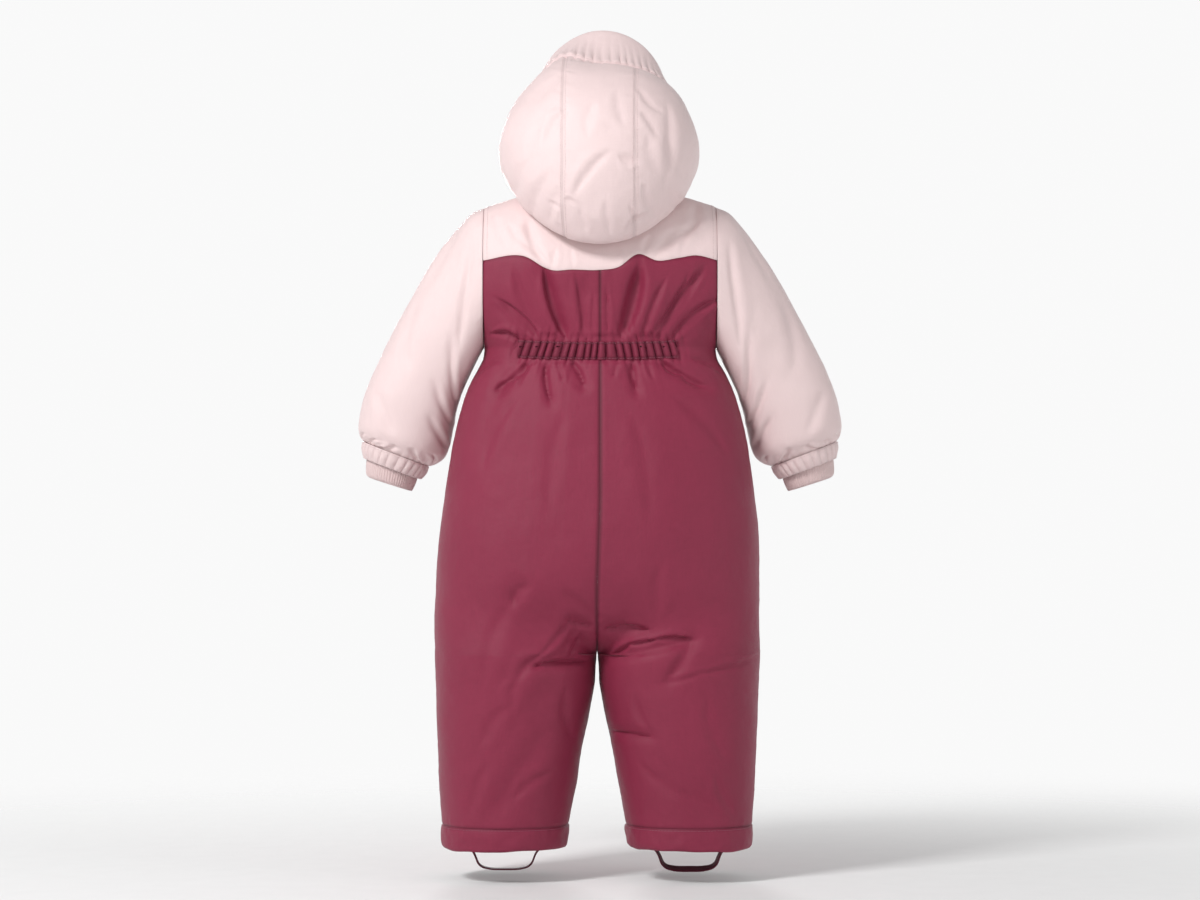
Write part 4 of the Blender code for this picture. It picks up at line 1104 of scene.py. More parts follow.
def sew_panel(side, word, face, turns, levels, relief):
    """A panel of body and leg, moved off the centre plane by the thread of its seam."""
    shift = (side * CLOSED_GAP, CLOSED_GAP if face == "back" else -CLOSED_GAP, 0)
    outer, inner, near, out = lay_cloth(body, turns, levels, relief, "top first last bottom", shift, True)
    sew(f"cloth_{face}_{word}", f"{face}_{word}", outer, inner, PADDED_BURGUNDY, out, near)


# %% Back panels
BACK_COLUMNS = 110
BACK_ROWS = (86, 52, 50, 78)
ACROSS_BACK = spaced(0, 1, BACK_COLUMNS) ** 1.06
for side, word in SIDES:
    start_level = np.full(BACK_COLUMNS, FRONT_SEAM_LEVEL)
    seam_x, _ = half_section(ACROSS_BACK, start_level, BODY.read("back", start_level))
    top = YOKE_SEAM.read("level", side * seam_x) - SEAM_GAP / 2
    levels = panel_levels(top, BACK_ROWS)
    turns = np.repeat(ACROSS_BACK[None, :], len(levels), axis=0)
    turns[0] = turn_at_x(seam_x, top, "back")
    turns = side * np.maximum(turns, JUST_OFF)
    sew_panel(side, word, "back", turns, levels, back_relief)

# %% Front panels
FRONT_COLUMNS = 50
FRONT_ROWS = (36, 30, 26, 40)
# Rows that follow the end of the zip, where the two fronts close under it.
CLOSING_ROWS = ZIP_END - np.array([0.2, 0.8, 1.6, ZIP_CLOSING])
for side, word in SIDES:
    across = spaced(0, 1 - JUST_OFF, FRONT_COLUMNS)
    top = np.full(FRONT_COLUMNS, FRONT_SEAM_LEVEL - SEAM_GAP / 2)
    levels = panel_levels(top, FRONT_ROWS)
    levels = np.concatenate([levels, np.repeat(CLOSING_ROWS[:, None], FRONT_COLUMNS, axis=1)])
    levels = levels[np.argsort(-levels[:, 0], kind="stable")]
    edge = TAPE_HALF_WIDTH * smooth_step(CLOSING_ROWS[-1], CLOSING_ROWS[0], levels[:, 0])
    start = np.maximum(turn_at_x(edge, levels[:, 0], "front"), JUST_OFF)
    turns = side * (2 - (start[:, None] + (1 - start[:, None]) * across[None, :]))
    sew_panel(side, word, "front", turns, levels, front_relief)

# %% [markdown]
# The yokes are cut in pink cloth. The back yoke is one piece over both shoulder blades, with a lower seam
# that dips in the middle. The front yokes meet the zip. Their upper edge is the neck seam under the hood.


# %% Yokes
def yoke_grid(xs, seam_xs, seam, reach_name, rows):
    """Turns and levels of a yoke, from the neck or the shoulder seam down to its lower seam."""
    sign = 1 if reach_name == "back" else -1
    share = np.clip(1 - (xs / NECK_HALF_WIDTH) ** 2, 0, 1)
    neck_y = NECK_MIDDLE + sign * NECK_HALF_LENGTH * np.sqrt(share)
    in_neck = (np.abs(xs) < NECK_HALF_WIDTH) & (neck_y * sign > 0)
    neck_top, _ = neck_level(xs, np.where(in_neck, neck_y, 0.0))
    top = np.where(in_neck, neck_top, ARMHOLE_TOP)
    down = (1 - np.cos(spaced(0, 1, rows) * math.pi / 2))[:, None]
    levels = top[None, :] + (seam - top)[None, :] * down
    share = down ** 0.5
    between = np.abs(xs)[None, :] * (1 - share) + np.abs(seam_xs)[None, :] * share
    return turn_at_x(between, levels, reach_name), levels


# x0 z0 x1 z1 width depth ridge bow
YOKE_CREASES = [
    (94, -30, 66, -58, 3.6, -1.2, 1, 3),
    (72, -44, 54, -70, 3.0, -1.0, -1, 2),
    (110, -18, 96, -52, 4.0, -0.8, 1, 2),
    (30, -58, 28, -74, 3.0, -0.7, 1, 0),
    (-24, -56, -30, -72, 3.0, -0.8, -1, 0),
    (-52, -42, -46, -62, 3.4, -1.2, -1, 2),
    (-78, -34, -58, -62, 3.6, -1.3, 1, 3),
    (-104, -22, -84, -56, 4.2, -1.0, -1, 3),
    (-101, -6, -97, -34, 5.5, -2.0, 1, 0),
    (-96, -32, -64, -57, 6.0, -2.4, 1, 3),
    (75, -26, 61, -66, 6.0, -2.2, -1, 2),
    (46, -56, 48, -74, 3.0, -1.2, 1, 1),
]
YOKE_STRENGTH = 1.2


def yoke_relief(point):
    return YOKE_STRENGTH * crease_height(point, YOKE_CREASES) + filling(point)


def sew_yoke(node, turns, levels, relief, shift):
    outer, inner, near, out = lay_cloth(body, turns, levels, relief, "top bottom first last", shift,
                                        roll=SOFT_ROLL_DEPTH)
    sew(f"cloth_{node}", node, outer, inner, PADDED_PINK, out, near)


edge_x = ARMHOLE_X - SEAM_GAP
# Where the neck seam crosses the tops of the shoulders.
cross_x = NECK_HALF_WIDTH * math.sqrt(1 - (NECK_MIDDLE / NECK_HALF_LENGTH) ** 2)
YOKE_ROWS = 44
YOKE_COLUMNS = 60
NECK_COLUMNS = 34
FRONT_YOKE_ROWS = 34
FRONT_NECK_COLUMNS = 26
FRONT_SHOULDER_COLUMNS = 24
neck_xs = cross_x * np.sin(spaced(0, 1, NECK_COLUMNS) * math.pi / 2)
half_xs = np.concatenate([neck_xs, spaced(cross_x, edge_x, YOKE_COLUMNS - NECK_COLUMNS + 1)[1:]])
seam_half = spaced(0, edge_x, YOKE_COLUMNS)
xs = np.concatenate([-half_xs[:0:-1], half_xs])
seam_xs = np.concatenate([-seam_half[:0:-1], seam_half])
seam = YOKE_SEAM.read("level", seam_xs) - SEAM_GAP / 2 + CLOSED_GAP
turns, levels = yoke_grid(xs, seam_xs, seam, "back", YOKE_ROWS)
turns = np.where(xs[None, :] < 0, -1, 1) * np.maximum(turns, JUST_OFF)
sew_yoke("yoke_back", turns, levels, yoke_relief, (0, CLOSED_GAP, 0))

neck_xs = TAPE_CLEAR + (cross_x - TAPE_CLEAR) * np.sin(spaced(0, 1, FRONT_NECK_COLUMNS) * math.pi / 2)
front_xs = np.concatenate([neck_xs, spaced(cross_x, edge_x, FRONT_SHOULDER_COLUMNS)[1:]])
seam = np.full(len(front_xs), FRONT_SEAM_LEVEL + SEAM_GAP / 2)
turns, levels = yoke_grid(front_xs, front_xs, seam, "front", FRONT_YOKE_ROWS)
for side, word in SIDES:
    sew_yoke(f"yoke_front_{word}", side * (2 - turns), levels, filling, (0, -CLOSED_GAP, 0))

# %% [markdown]
# The waist casing is a strip of the same burgundy cloth, stitched down along both edges over a flat
# elastic. It is cut far longer than it ends up, and the elastic draws it into about twenty puffs.

# %% Waist casing
CLOTH = 1.3
FRILL = 1.6
FRILL_MARGIN = 0.6
CASING_ROWS = 24
CASING_COLUMNS = 330
STITCH_ROW = 0.10
STITCH_SPREAD = 0.05
casing_xs = spaced(CASING_RIGHT, CASING_LEFT, CASING_COLUMNS)
rows = spaced(0, 1, CASING_ROWS)[:, None]
lean = casing_xs[None, :] + waist_lean(casing_xs)[None, :] * (rows - 0.5)
puff = puffs(lean, PUFF_PITCH, 4)
levels = CASING_TOP - FRILL_MARGIN - casing_bow(casing_xs)[None, :] - rows * (CASING_HEIGHT - 2 * FRILL_MARGIN)
levels = levels + FRILL * (puff - 0.55) * (1 - 2 * rows) * np.abs(1 - 2 * rows)
turns = turn_at_x(np.abs(casing_xs)[None, :] + 0 * levels, levels, "back")
turns = np.where(casing_xs[None, :] < 0, -1, 1) * np.maximum(turns, JUST_OFF)
base, out = body(turns, levels)
base = base + np.array([0, SEAM_GAP / 2, 0])
middle = np.sin(rows * math.pi) ** 0.5
stitched = bell(rows - STITCH_ROW, STITCH_SPREAD) + bell(1 - rows - STITCH_ROW, STITCH_SPREAD)
height = CASING_LIFT + WAIST_GATHER * (puff - GATHER_LEVEL) * within_waist(base[..., 0]) + 0.8 * filling(base)
height = height + middle * (0.6 + 2.6 * puff) - 0.5 * stitched + 0.3 * unevenness(base, 5)
# Painted shade: the colour darkens in the valleys between puffs and along the stitch lines.
near = np.clip(stitched * 0.5 + (1 - puff) * 0.9, 0, 1)
sew("cloth_waist_casing", "waist_casing", moved(base, out, height), moved(base, out, height - CLOTH),
    PLAIN_BURGUNDY, out, near)

# %% [markdown]
# A sleeve hangs from its armhole in a soft curve and blouses over the elastic at the wrist. Its creases
# are placed round the tube: how far round, how far along, and so on, in shares of a turn and in rings.

# %% Creases round a sleeve
RING_STEP = 29.0
# turn0 ring0 turn1 ring1 width depth ridge
SLEEVE_CREASES = [
    (0.30, 7.6, 0.36, 8.8, 3.0, -1.8, 1),
    (0.24, 7.9, 0.20, 8.9, 2.8, -1.5, -1),
    (0.16, 8.0, 0.13, 8.9, 2.6, -1.4, 1),
    (0.40, 7.5, 0.46, 8.7, 3.2, -1.7, -1),
    (0.08, 7.8, 0.05, 8.8, 3.0, -1.2, 1),
    (0.33, 5.6, 0.46, 6.6, 5.0, -1.6, 1),
    (0.30, 4.2, 0.45, 5.0, 6.0, -1.5, 1),
    (0.28, 2.4, 0.44, 3.6, 7.0, -1.6, 1),
    (0.18, 0.9, 0.32, 2.2, 6.5, -1.4, -1),
    (0.12, 5.9, 0.22, 6.9, 5.0, -1.1, -1),
    (0.10, 3.4, 0.19, 4.8, 7.0, -1.0, 1),
    (0.04, 1.4, 0.10, 3.0, 7.0, -0.9, -1),
    (0.56, 2.2, 0.72, 3.2, 6.5, -1.5, 1),
    (0.54, 4.4, 0.70, 5.1, 6.0, -1.5, -1),
    (0.55, 6.0, 0.68, 6.8, 5.5, -1.5, 1),
    (0.74, 7.7, 0.70, 8.8, 3.0, -1.6, 1),
    (0.64, 7.6, 0.59, 8.8, 3.0, -1.6, -1),
    (0.84, 7.9, 0.86, 8.9, 2.8, -1.3, 1),
    (0.93, 7.9, 0.95, 8.8, 2.6, -1.2, -1),
    (0.78, 5.0, 0.88, 6.2, 6.0, -1.1, 1),
    (0.80, 1.6, 0.92, 3.2, 7.0, -1.1, -1),
]
SLEEVE_ROUND = 235.0
SLEEVE_STRENGTH = 1.7
SLEEVE_GATHER = 2.4
SLEEVE_PITCH = 8.8
SLEEVE_REACH = 13
SLEEVE_END = 8.98
SLEEVE_BOW = 2.5
SLEEVE_OVERRUN = 0.2
# How far one gather's share of a ring runs, and where the right sleeve reads the padding's unevenness.
GATHER_STEP = RING_STEP * 0.55
RIGHT_PADDING = (37.0, 11.0, 5.0)


def tube_creases(turn, ring, creases):
    """Height of creases that are placed by turn and ring."""
    total = np.zeros(turn.shape)
    for turn0, ring0, turn1, ring1, width, depth, ridge in creases:
        run = np.array([(turn1 - turn0) * SLEEVE_ROUND, (ring1 - ring0) * RING_STEP])
        around = ((turn - turn0 + 0.5) % 1 - 0.5) * SLEEVE_ROUND
        along, beside = beside_run(np.stack([around, (ring - ring0) * RING_STEP], axis=-1), run)
        shape = crease_shape(bowed(beside, along, SLEEVE_BOW * ridge), width, ridge)
        total += depth * faded_ends(along, SLEEVE_OVERRUN, CREASE_RISE) * shape
    return total


def sleeve_height(turn, ring, point):
    around = turn * SLEEVE_ROUND
    pull = gathers(around, (SLEEVE_END - ring) * GATHER_STEP, SLEEVE_PITCH, SLEEVE_REACH, 5)
    creases = tube_creases(turn, ring, SLEEVE_CREASES)
    return SLEEVE_STRENGTH * creases + SLEEVE_GATHER * pull + filling(point)


def flat_ends(points, out):
    """The directions at the first and last ring, laid in the ring's own plane."""
    for row in (0, -1):
        ring = points[row]
        axis = np.linalg.svd(ring - ring.mean(axis=0))[2][2]
        out[row] = unit(out[row] - (out[row] @ axis)[:, None] * axis)
    return out


def sew_tube(name, node, side, outer, inner, cloth, out, near=None):
    """A closed piece of the left arm, mirrored for the right."""
    outer, inner, out = (part * np.array([side, 1, 1]) for part in (outer, inner, out))
    sew(name, node, outer, inner, cloth, out, near, True)


# %% Sleeves
SLEEVE_COLUMNS = 150
ring_rows = np.concatenate([spaced(0, 7, 70), spaced(7, SLEEVE_END, 34)[1:]])
turns, rings = np.meshgrid(spaced(0, 1, SLEEVE_COLUMNS + 1)[:-1], ring_rows)
for side, word in SIDES:
    base, out = tube(SLEEVE)(turns, rings)
    out = flat_ends(base, out)
    base = base + np.array([CLOSED_GAP - SEAM_GAP, 0, 0])
    edge, near = seam_relief(base, "top bottom", True, roll=SOFT_ROLL_DEPTH)
    padding = base if side > 0 else base + np.array(RIGHT_PADDING)
    outer = moved(base, out, sleeve_height(turns, rings, padding) + edge)
    sew_tube(f"cloth_sleeve_{word}", f"sleeve_{word}", side, outer, outer - out * SHELL_WALL, PADDED_PINK,
             out, near)

# %% [markdown]
# Below the sleeve a casing with elastic closes it in, and a knitted cuff comes out of the casing. The
# casing's puffs stand close together, each divided from the next by a sharp valley.

# %% Sleeve casings
CASING_ROUND = 200.0
CASING_PITCH = CASING_ROUND / 26
SEAM_TURN = 0.03
CASING_FIRST = 0.03
CASING_LAST = 2.0
RIGHT_PUFFS = 31
casing_turns, rings = np.meshgrid(spaced(0, 1, 313)[:-1], spaced(CASING_FIRST, CASING_LAST, 22))
shares = (rings - CASING_FIRST) / (CASING_LAST - CASING_FIRST)
for side, word in SIDES:
    base, out = tube(SLEEVE_CASING)(casing_turns, rings)
    out = flat_ends(base, out)
    lean = casing_turns * CASING_ROUND + 3.0 * (shares - 0.5) + (0 if side > 0 else RIGHT_PUFFS)
    seamless = smooth_step(0, SEAM_TURN, casing_turns) * smooth_step(1, 1 - SEAM_TURN, casing_turns)
    puff = puffs(lean, CASING_PITCH, 5 + side) * seamless + (1 - seamless) * 0.3
    middle = np.sin(shares * math.pi) ** 0.5
    height = 0.1 + middle * (0.3 + 2.5 * puff) + 0.25 * unevenness(base, 5) * middle
    inner = moved(base, out, np.maximum(height - CLOTH, -CASING_WALL))
    # Painted shade: the colour darkens in the valleys between puffs and towards both edges.
    near = np.clip((1 - puff) * 0.5 + (1 - middle) * 0.5, 0, 1)
    sew_tube(f"cloth_sleeve_casing_{word}", f"sleeve_casing_{word}", side, moved(base, out, height), inner,
             PADDED_PINK, out, near)

# %% [markdown]
# Rib knit has columns that stand out and columns that lie back. Sixty-four ribs round the wrist are cut
# into the mesh as rounded waves. The free end turns back on itself in a soft fold.

# %% Knitted cuffs
RIBS = 64
RIB_HEIGHT = 0.30
KNIT_UNEVEN = 0.35
KNIT_CLEAR = 0.25
cuff_turns, rings = np.meshgrid(spaced(0, 1, RIBS * 5 + 1)[:-1], spaced(0, 3, 18))
for side, word in SIDES:
    base, out = tube(CUFF)(cuff_turns, rings)
    out = flat_ends(base, out)
    rib = np.cos(cuff_turns * 2 * math.pi * RIBS)
    fade = smooth_step(3.0, 2.8, rings)
    height = (RIB_HEIGHT * rib + KNIT_UNEVEN * unevenness(base, 16)) * fade - KNIT_CLEAR
    sew_tube(f"knit_cuff_{word}", f"cuff_{word}", side, moved(base, out, height), base - out * KNIT_WALL,
             RIB_KNIT, out)

# %% [markdown]
# The hood has a centre strip over the head and two shaped sides. The strip's seams are topstitched on
# both sides, and the cloth puckers along them. At the face opening a casing gathers it, so short folds
# run back from the opening's seam over the crown.

# %% Hood creases
# x0 z0 x1 z1 width depth ridge bow
HOOD_CREASES = [
    (-8, 40, 26, -2, 5.0, -1.7, -1, 3),
    (36, 84, 56, 52, 4.0, -2.0, -1, 3),
    (58, 72, 74, 40, 5.5, -1.0, 1, 4),
    (74, 34, 88, -4, 6.0, -1.1, 1, 4),
    (52, 20, 70, -22, 5.0, -1.2, -1, 3),
    (40, 4, 52, -30, 4.0, -1.2, 1, 2),
    (-50, 60, -62, 18, 5.5, -1.2, 1, 4),
    (-44, 10, -58, -24, 4.0, -1.3, -1, 3),
    (-31, -14, -40, -34, 3.0, -1.2, 1, 1),
    (-70, 60, -84, 20, 6.0, -0.9, -1, 4),
    (-72, 4, -84, -14, 5.0, -1.0, 1, 2),
    (6, 92, 14, 60, 6.0, -0.9, 1, 3),
    (-18, 104, -24, 70, 6.0, -0.9, -1, 2),
    (20, -16, 14, -40, 4.0, -0.9, 1, 1),
    (-6, -10, -10, -40, 4.0, -0.8, -1, 1),
    (52, -8, 40, -15, 2.2, -1.3, 1, 1),
    (37, -6, 25, -11, 2.2, -1.2, 1, -1),
    (-27, -37, -49, -21, 2.6, -1.4, 1, -2),
    (-20, 36, -38, 31, 4.5, -1.6, -1, 1),
    (-40, 108, -64, 84, 3.2, -1.4, -1, 3),
    (-42, 84, -58, 58, 3.4, -1.5, -1, -2),
    (-70, 88, -67, 12, 5.0, -1.6, 1, -3),
    (44, 122, 60, 96, 4.0, -1.0, 1, 2),
]


FACE_ROUND = 260.0
FACE_PITCH = 9.2
FACE_GATHER = 2.6
HOOD_RING_STEP = 33.0
HOOD_STRENGTH = 1.3
HOOD_PUCKER = 0.75
RING_HALF_STEP = 0.01


def hood_height(turn, ring, point):
    """Creases seen from behind, gathers at the face seam and the padding."""
    behind = smooth_step(0.62, 0.45, np.abs(turn)) * smooth_step(1.6, 2.4, ring)
    pull = gathers(turn * FACE_ROUND, (HOOD_GATHER - ring) * HOOD_RING_STEP, FACE_PITCH, 15, 9)
    under = smooth_step(2.2, 1.0, ring)
    creases = behind * HOOD_STRENGTH * crease_height(point, HOOD_CREASES)
    return creases + FACE_GATHER * pull * (1 - under) + filling(point) * (1 - 0.6 * under)


def hood_turn(x, ring):
    return np.arcsin(np.clip(x / HOOD.read("half_width", ring), -1, 1)) / math.pi


def ring_gap(turns, ring):
    """The share of a ring that is as long as a closed seam's gap."""
    apart = hood_points(turns, ring + RING_HALF_STEP) - hood_points(turns, ring - RING_HALF_STEP)
    return CLOSED_GAP * 2 * RING_HALF_STEP / np.linalg.norm(apart, axis=-1)


# %% Hood panels
hood_rows = np.concatenate([spaced(0, 3, 40), spaced(3, HOOD_GATHER, 96)[1:]])
strip_x = STRIP_HALF_WIDTH - STRIP_NECK_TAPER * smooth_step(4, 0, hood_rows)
strip = hood_turn(strip_x, hood_rows)[:, None]
gap = hood_turn(CLOSED_GAP, hood_rows)[:, None]
chin = 1 - hood_turn(TAPE_CLEAR, hood_rows)[:, None]


def sew_hood_piece(node, turns):
    rings = np.repeat(hood_rows[:, None], turns.shape[1], axis=1)
    rings[-1] -= ring_gap(turns[-1], rings[-1])
    base, out = hood(turns, rings)
    edge, near = seam_relief(base, "top bottom first last", False, pucker=HOOD_PUCKER, roll=SOFT_ROLL_DEPTH)
    over_neck = smooth_step(0, 0.5, rings)
    height = (hood_height(turns, rings, base) + edge) * over_neck - 0.3 * (1 - over_neck)
    outer = moved(base, out, height)
    sew(f"cloth_{node}", node, outer, outer - out * SHELL_WALL, PADDED_PINK, out, near)


sew_hood_piece("hood_centre", spaced(-1, 1, 50)[None, :] * (strip - gap))
side_turns = strip + gap + (chin - strip - gap) * spaced(0, 1, 84)[None, :]
for side, word in SIDES:
    sew_hood_piece(f"hood_{word}", side * side_turns)

# %% [markdown]
# The face band is a folded strip with elastic in it. Where it is sewn on, it is full of small puffs. Its
# free edge is smooth, because the cloth is folded there.

# %% Face band
BAND_PUFF = 3.0
BAND_LEAN = 6.0
band_rows = spaced(HOOD_GATHER, HOOD_LAST, 28)
band_chin = 1 - hood_turn(TAPE_CLEAR, band_rows)[:, None]
turns = band_chin * spaced(-1, 1, 330)[None, :]
rings = np.repeat(band_rows[:, None], turns.shape[1], axis=1)
rings[0] += ring_gap(turns[0], rings[0])
base, out = hood(turns, rings)
shares = rings - HOOD_GATHER
puff = puffs(turns * FACE_ROUND + BAND_LEAN * shares * unevenness(base, 30), FACE_PITCH, 9)
edge, near = seam_relief(base, "top", False, roll=SOFT_ROLL_DEPTH)
height = BAND_PUFF * puff * smooth_step(0, 0.06, shares) * bell(shares, 0.42) + edge
height = height + filling(base) * smooth_step(0, 0.3, shares) - 1.0 * smooth_step(0.93, 1.0, shares)
# Painted shade: the colour darkens further in the valleys between the band's puffs.
near = np.clip(near + (1 - puff) * 0.35 * bell(shares, 0.3), 0, 1)
sew("cloth_hood_band", "hood_band", moved(base, out, height), base - out * SHELL_WALL, PADDED_PINK,
    out, near)

# %% [markdown]
# The zip runs from the face opening down to the belly. Its woven tape is sewn between the fronts, and the
# two rows of moulded teeth mesh in the middle. Each tooth is a small block with a rounded head, and the
# teeth stand 2.5 mm apart on each side, in turns.


# %% Zip tape
SIDEWAYS = np.array([1.0, 0, 0])
# The tape's woven ribs and the cord on each side of the teeth.
TAPE_RIB = 0.12
TAPE_RIB_PITCH = 1.6
CORD_RISE = 0.5
CORD_PLACE = 1.9
CORD_WIDTH = 0.6


def zip_path():
    """The zip's run down the front from the face opening, with its outward directions."""
    chin_rings = np.array([HOOD_LAST, HOOD_GATHER, 7.2, 5.2, 3, 1.5, 0.5])
    chin_points = hood_points(np.ones(len(chin_rings)), chin_rings)
    level, _ = neck_level(np.zeros(1), np.array([NECK_FRONT]))
    chest_levels = np.concatenate([level - 3, [-36, -52, FRONT_SEAM_LEVEL], spaced(-95, ZIP_END, 8)])
    chest = bare_body(1.0, False, np.full(len(chest_levels), 2.0), chest_levels)
    path = np.concatenate([chin_points, chest])
    along = np.gradient(path, axis=0)
    return path, unit(np.cross(along, SIDEWAYS))


def along_path(path, out, spacing):
    """Even steps along a run of points, with their outward directions."""
    gone = np.concatenate([[0], np.cumsum(np.linalg.norm(np.diff(path, axis=0), axis=1))])
    at = np.arange(0, gone[-1], spacing)
    even = np.stack([np.interp(at, gone, path[:, k]) for k in range(3)], axis=1)
    way = np.stack([np.interp(at, gone, out[:, k]) for k in range(3)], axis=1)
    return even, unit(way)


path, out = zip_path()
even, way = along_path(path, out, 4.0)
edge = TAPE_HALF_WIDTH - SEAM_GAP / 2
sides = spaced(-edge, edge, 23)
rib = TAPE_RIB * np.cos(sides * math.pi * 2 / TAPE_RIB_PITCH) * (np.abs(sides) > 3.4)
relief = rib + CORD_RISE * bell(np.abs(sides) - CORD_PLACE, CORD_WIDTH)
flat = even[:, None, :] + sides[None, :, None] * SIDEWAYS
sew("zip_tape_cloth", "zip_tape", flat + way[:, None, :] * relief[None, :, None],
    flat - way[:, None, :] * SHELL_WALL, ZIP_TAPE)

# %% Zip teeth
TOOTH_PITCH = 1.25
TOOTH_REACH = 2.3
TOOTH_THICK = 0.95
TOOTH_RISE = 1.5
TOOTH_ASIDE = 0.55
TOOTH_LIFT = 0.8
SHARP_TOOTH = 40


def small_blocks(name, centres, directions, half_sizes, finish):
    """Many small rounded blocks in one mesh. Each has its own three directions."""
    box = bmesh.new()
    bmesh.ops.create_cube(box, size=2)
    bmesh.ops.bevel(box, geom=box.edges[:], offset=0.35, segments=1, affect="EDGES")
    shape = np.array([vert.co for vert in box.verts]) * np.array(half_sizes)
    facets = [[vert.index for vert in face.verts] for face in box.faces]
    box.free()
    points = centres[:, None, :] + shape @ np.stack(directions, axis=1)
    faces = [[corner + i * len(shape) for corner in facet] for i in range(len(centres)) for facet in facets]
    return placed(new_mesh(name, points, faces, [finish]), SHARP_TOOTH)


centres, way = along_path(path, out, TOOTH_PITCH)
centres, way = centres[4:-3], way[4:-3]
step = unit(np.gradient(centres, axis=0))
hand = np.where(np.arange(len(centres)) % 2 == 0, 1.0, -1.0)[:, None]
across = np.cross(step, way)
teeth = small_blocks("zip_teeth", centres + across * hand * TOOTH_ASIDE + way * TOOTH_LIFT, (across, step, way),
                     (TOOTH_REACH / 2 + 0.35, TOOTH_THICK / 2, TOOTH_RISE / 2), teeth_plastic)
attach(teeth, "suit")
print("teeth", len(centres), "tape", round(float(np.linalg.norm(np.diff(path, axis=0), axis=1).sum())), "mm")

# %% [markdown]
# The hems are turned up and stitched. The foot straps are woven elastic, sewn inside the hem on both
# sides of each leg so that the loop passes under the foot. The right one is twisted.


# %% Hems
HEM_SWELL = 0.9
HEM_RIPPLE = 0.4
HEM_CURL = 1.2
HEM_DROP = 1.6


def hem_height(point, away):
    """The hem's scallops: the stitch line holds the cloth, and the fold under it swells unevenly."""
    swell = np.sin(np.clip(away, 0, 1) * math.pi) ** 0.6
    return swell * (HEM_SWELL * (1 + unevenness(point, 14)) + HEM_RIPPLE * unevenness(point, 7))


DOWNWARD = np.array([0, 0, -1.0])
hem_turns, hem_levels = np.meshgrid(spaced(0, 2, 241)[:-1], spaced(HEM_STITCH - CLOSED_GAP, HEM_END, 22))
for side, word in SIDES:
    base, out = body(side * np.maximum(hem_turns, JUST_OFF), hem_levels)
    shares = (HEM_STITCH - base[..., 2]) / (HEM_STITCH - HEM_END)
    edge, near = seam_relief(base, "top", True)
    height = hem_height(base, shares) + edge - HEM_CURL * smooth_step(0.9, 1.0, shares)
    hanging = moved(base, DOWNWARD, smooth_step(0.5, 1, shares) * HEM_DROP * unevenness(base, 26))
    sew(f"cloth_hem_{word}", f"hem_{word}", moved(hanging, out, height), hanging - out * SHELL_WALL,
        PLAIN_BURGUNDY, out, near, True)

# %% Foot straps
STRAP_WIDTH = 11.0
STRAP_LOW = -702.0
STRAP_TOP = -659.0
STRAP_TURN = -668.0
STRAP_SIDE = -681.0
STRAP_CLEAR = 0.5
STRAP_EDGE = 0.35
STRAP_RIB = 0.08
STRAP_RIB_PITCH = 1.5
STRAP_TWISTS = {"left": 0, "right": 25}
FORWARD = np.array([0, 1.0, 0])


def strap_path(side):
    inner, outer = LEG.read("inner", STRAP_TURN), LEG.read("outer", STRAP_TURN)
    room = SHELL_WALL + SEAM_GAP + STRAP_WALL / 2 + STRAP_CLEAR
    half = (outer - inner) / 2 - room
    places = np.array([(half, STRAP_TOP), (half - 1, STRAP_TURN), (36, STRAP_SIDE), (27, STRAP_LOW + 5),
                       (16, STRAP_LOW + 0.6), (0, STRAP_LOW)])
    run = np.concatenate([places * np.array([-1, 1]), places[-2::-1]])
    return side * (run[:, 0] + (inner + outer) / 2) + LOWER_SWAY, run[:, 1]


def rounded_run(run, count):
    """The same run with a smooth curve through its points."""
    slopes = np.gradient(run, axis=0)
    at = spaced(0, len(run) - 1, count)
    i = np.clip(at.astype(int), 0, len(run) - 2)
    return cubic((at - i)[:, None], run[i], run[i + 1], slopes[i], slopes[i + 1])


for side, word in SIDES:
    strap_x, strap_z = strap_path(side)
    run = rounded_run(np.stack([strap_x, strap_z], axis=1), 120)
    along = unit(np.gradient(run, axis=0))
    thick = np.stack([-along[:, 1], np.zeros(len(run)), along[:, 0]], axis=1)
    lean = math.radians(STRAP_TWISTS[word]) * np.sin(spaced(0, 1, len(run)) * math.pi)[:, None] ** 2
    middle_y = (LEG.read("back", HEM_END) + LEG.read("front", HEM_END)) / 2
    centre = np.stack([run[:, 0], np.full(len(run), float(middle_y)), run[:, 1]], axis=1)
    wide = FORWARD * np.cos(lean) + thick * np.sin(lean)
    face = (thick * np.cos(lean) - FORWARD * np.sin(lean))[:, None, :]
    across = spaced(-0.5, 0.5, 15) * STRAP_WIDTH
    grid = centre[:, None, :] + wide[:, None, :] * across[None, :, None]
    edge = STRAP_EDGE * (np.abs(across) / STRAP_WIDTH * 2) ** 8
    ribs = STRAP_RIB * np.cos(across * math.pi * 2 / STRAP_RIB_PITCH)
    half_wall = (STRAP_WALL / 2 - edge + ribs)[None, :, None]
    sew(f"webbing_strap_{word}", f"foot_strap_{word}", grid + face * half_wall, grid - face * half_wall,
        STRAP_WEBBING)

# %% [markdown]
# Slider and pull tab are the solids themselves, in enamelled metal. Their shape is already right, so
# they only take the finish.

# %% Slider and pull tab
for node in ("zip_slider", "pull_tab"):
    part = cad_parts[node]
    part.data.materials.clear()
    part.data.materials.append(enamel)
    part.data.polygons.foreach_set("material_index", [0] * len(part.data.polygons))

# %% [markdown]
# Topstitching holds each seam flat. A stitch is a short length of thread that dips into the cloth at both
# ends. About 1,700 of them go into two meshes. Each takes its place on a line a few millimetres from a
# panel's edge, read from the panel's own finished points, so it lies on the relief of the cloth.

# %% Stitches
STITCH = 2.7
STITCH_GAP = 0.8
THREAD = 0.3
THREAD_SIDES = 5
THREAD_LIFT = 0.12
SHARP_THREAD = 180
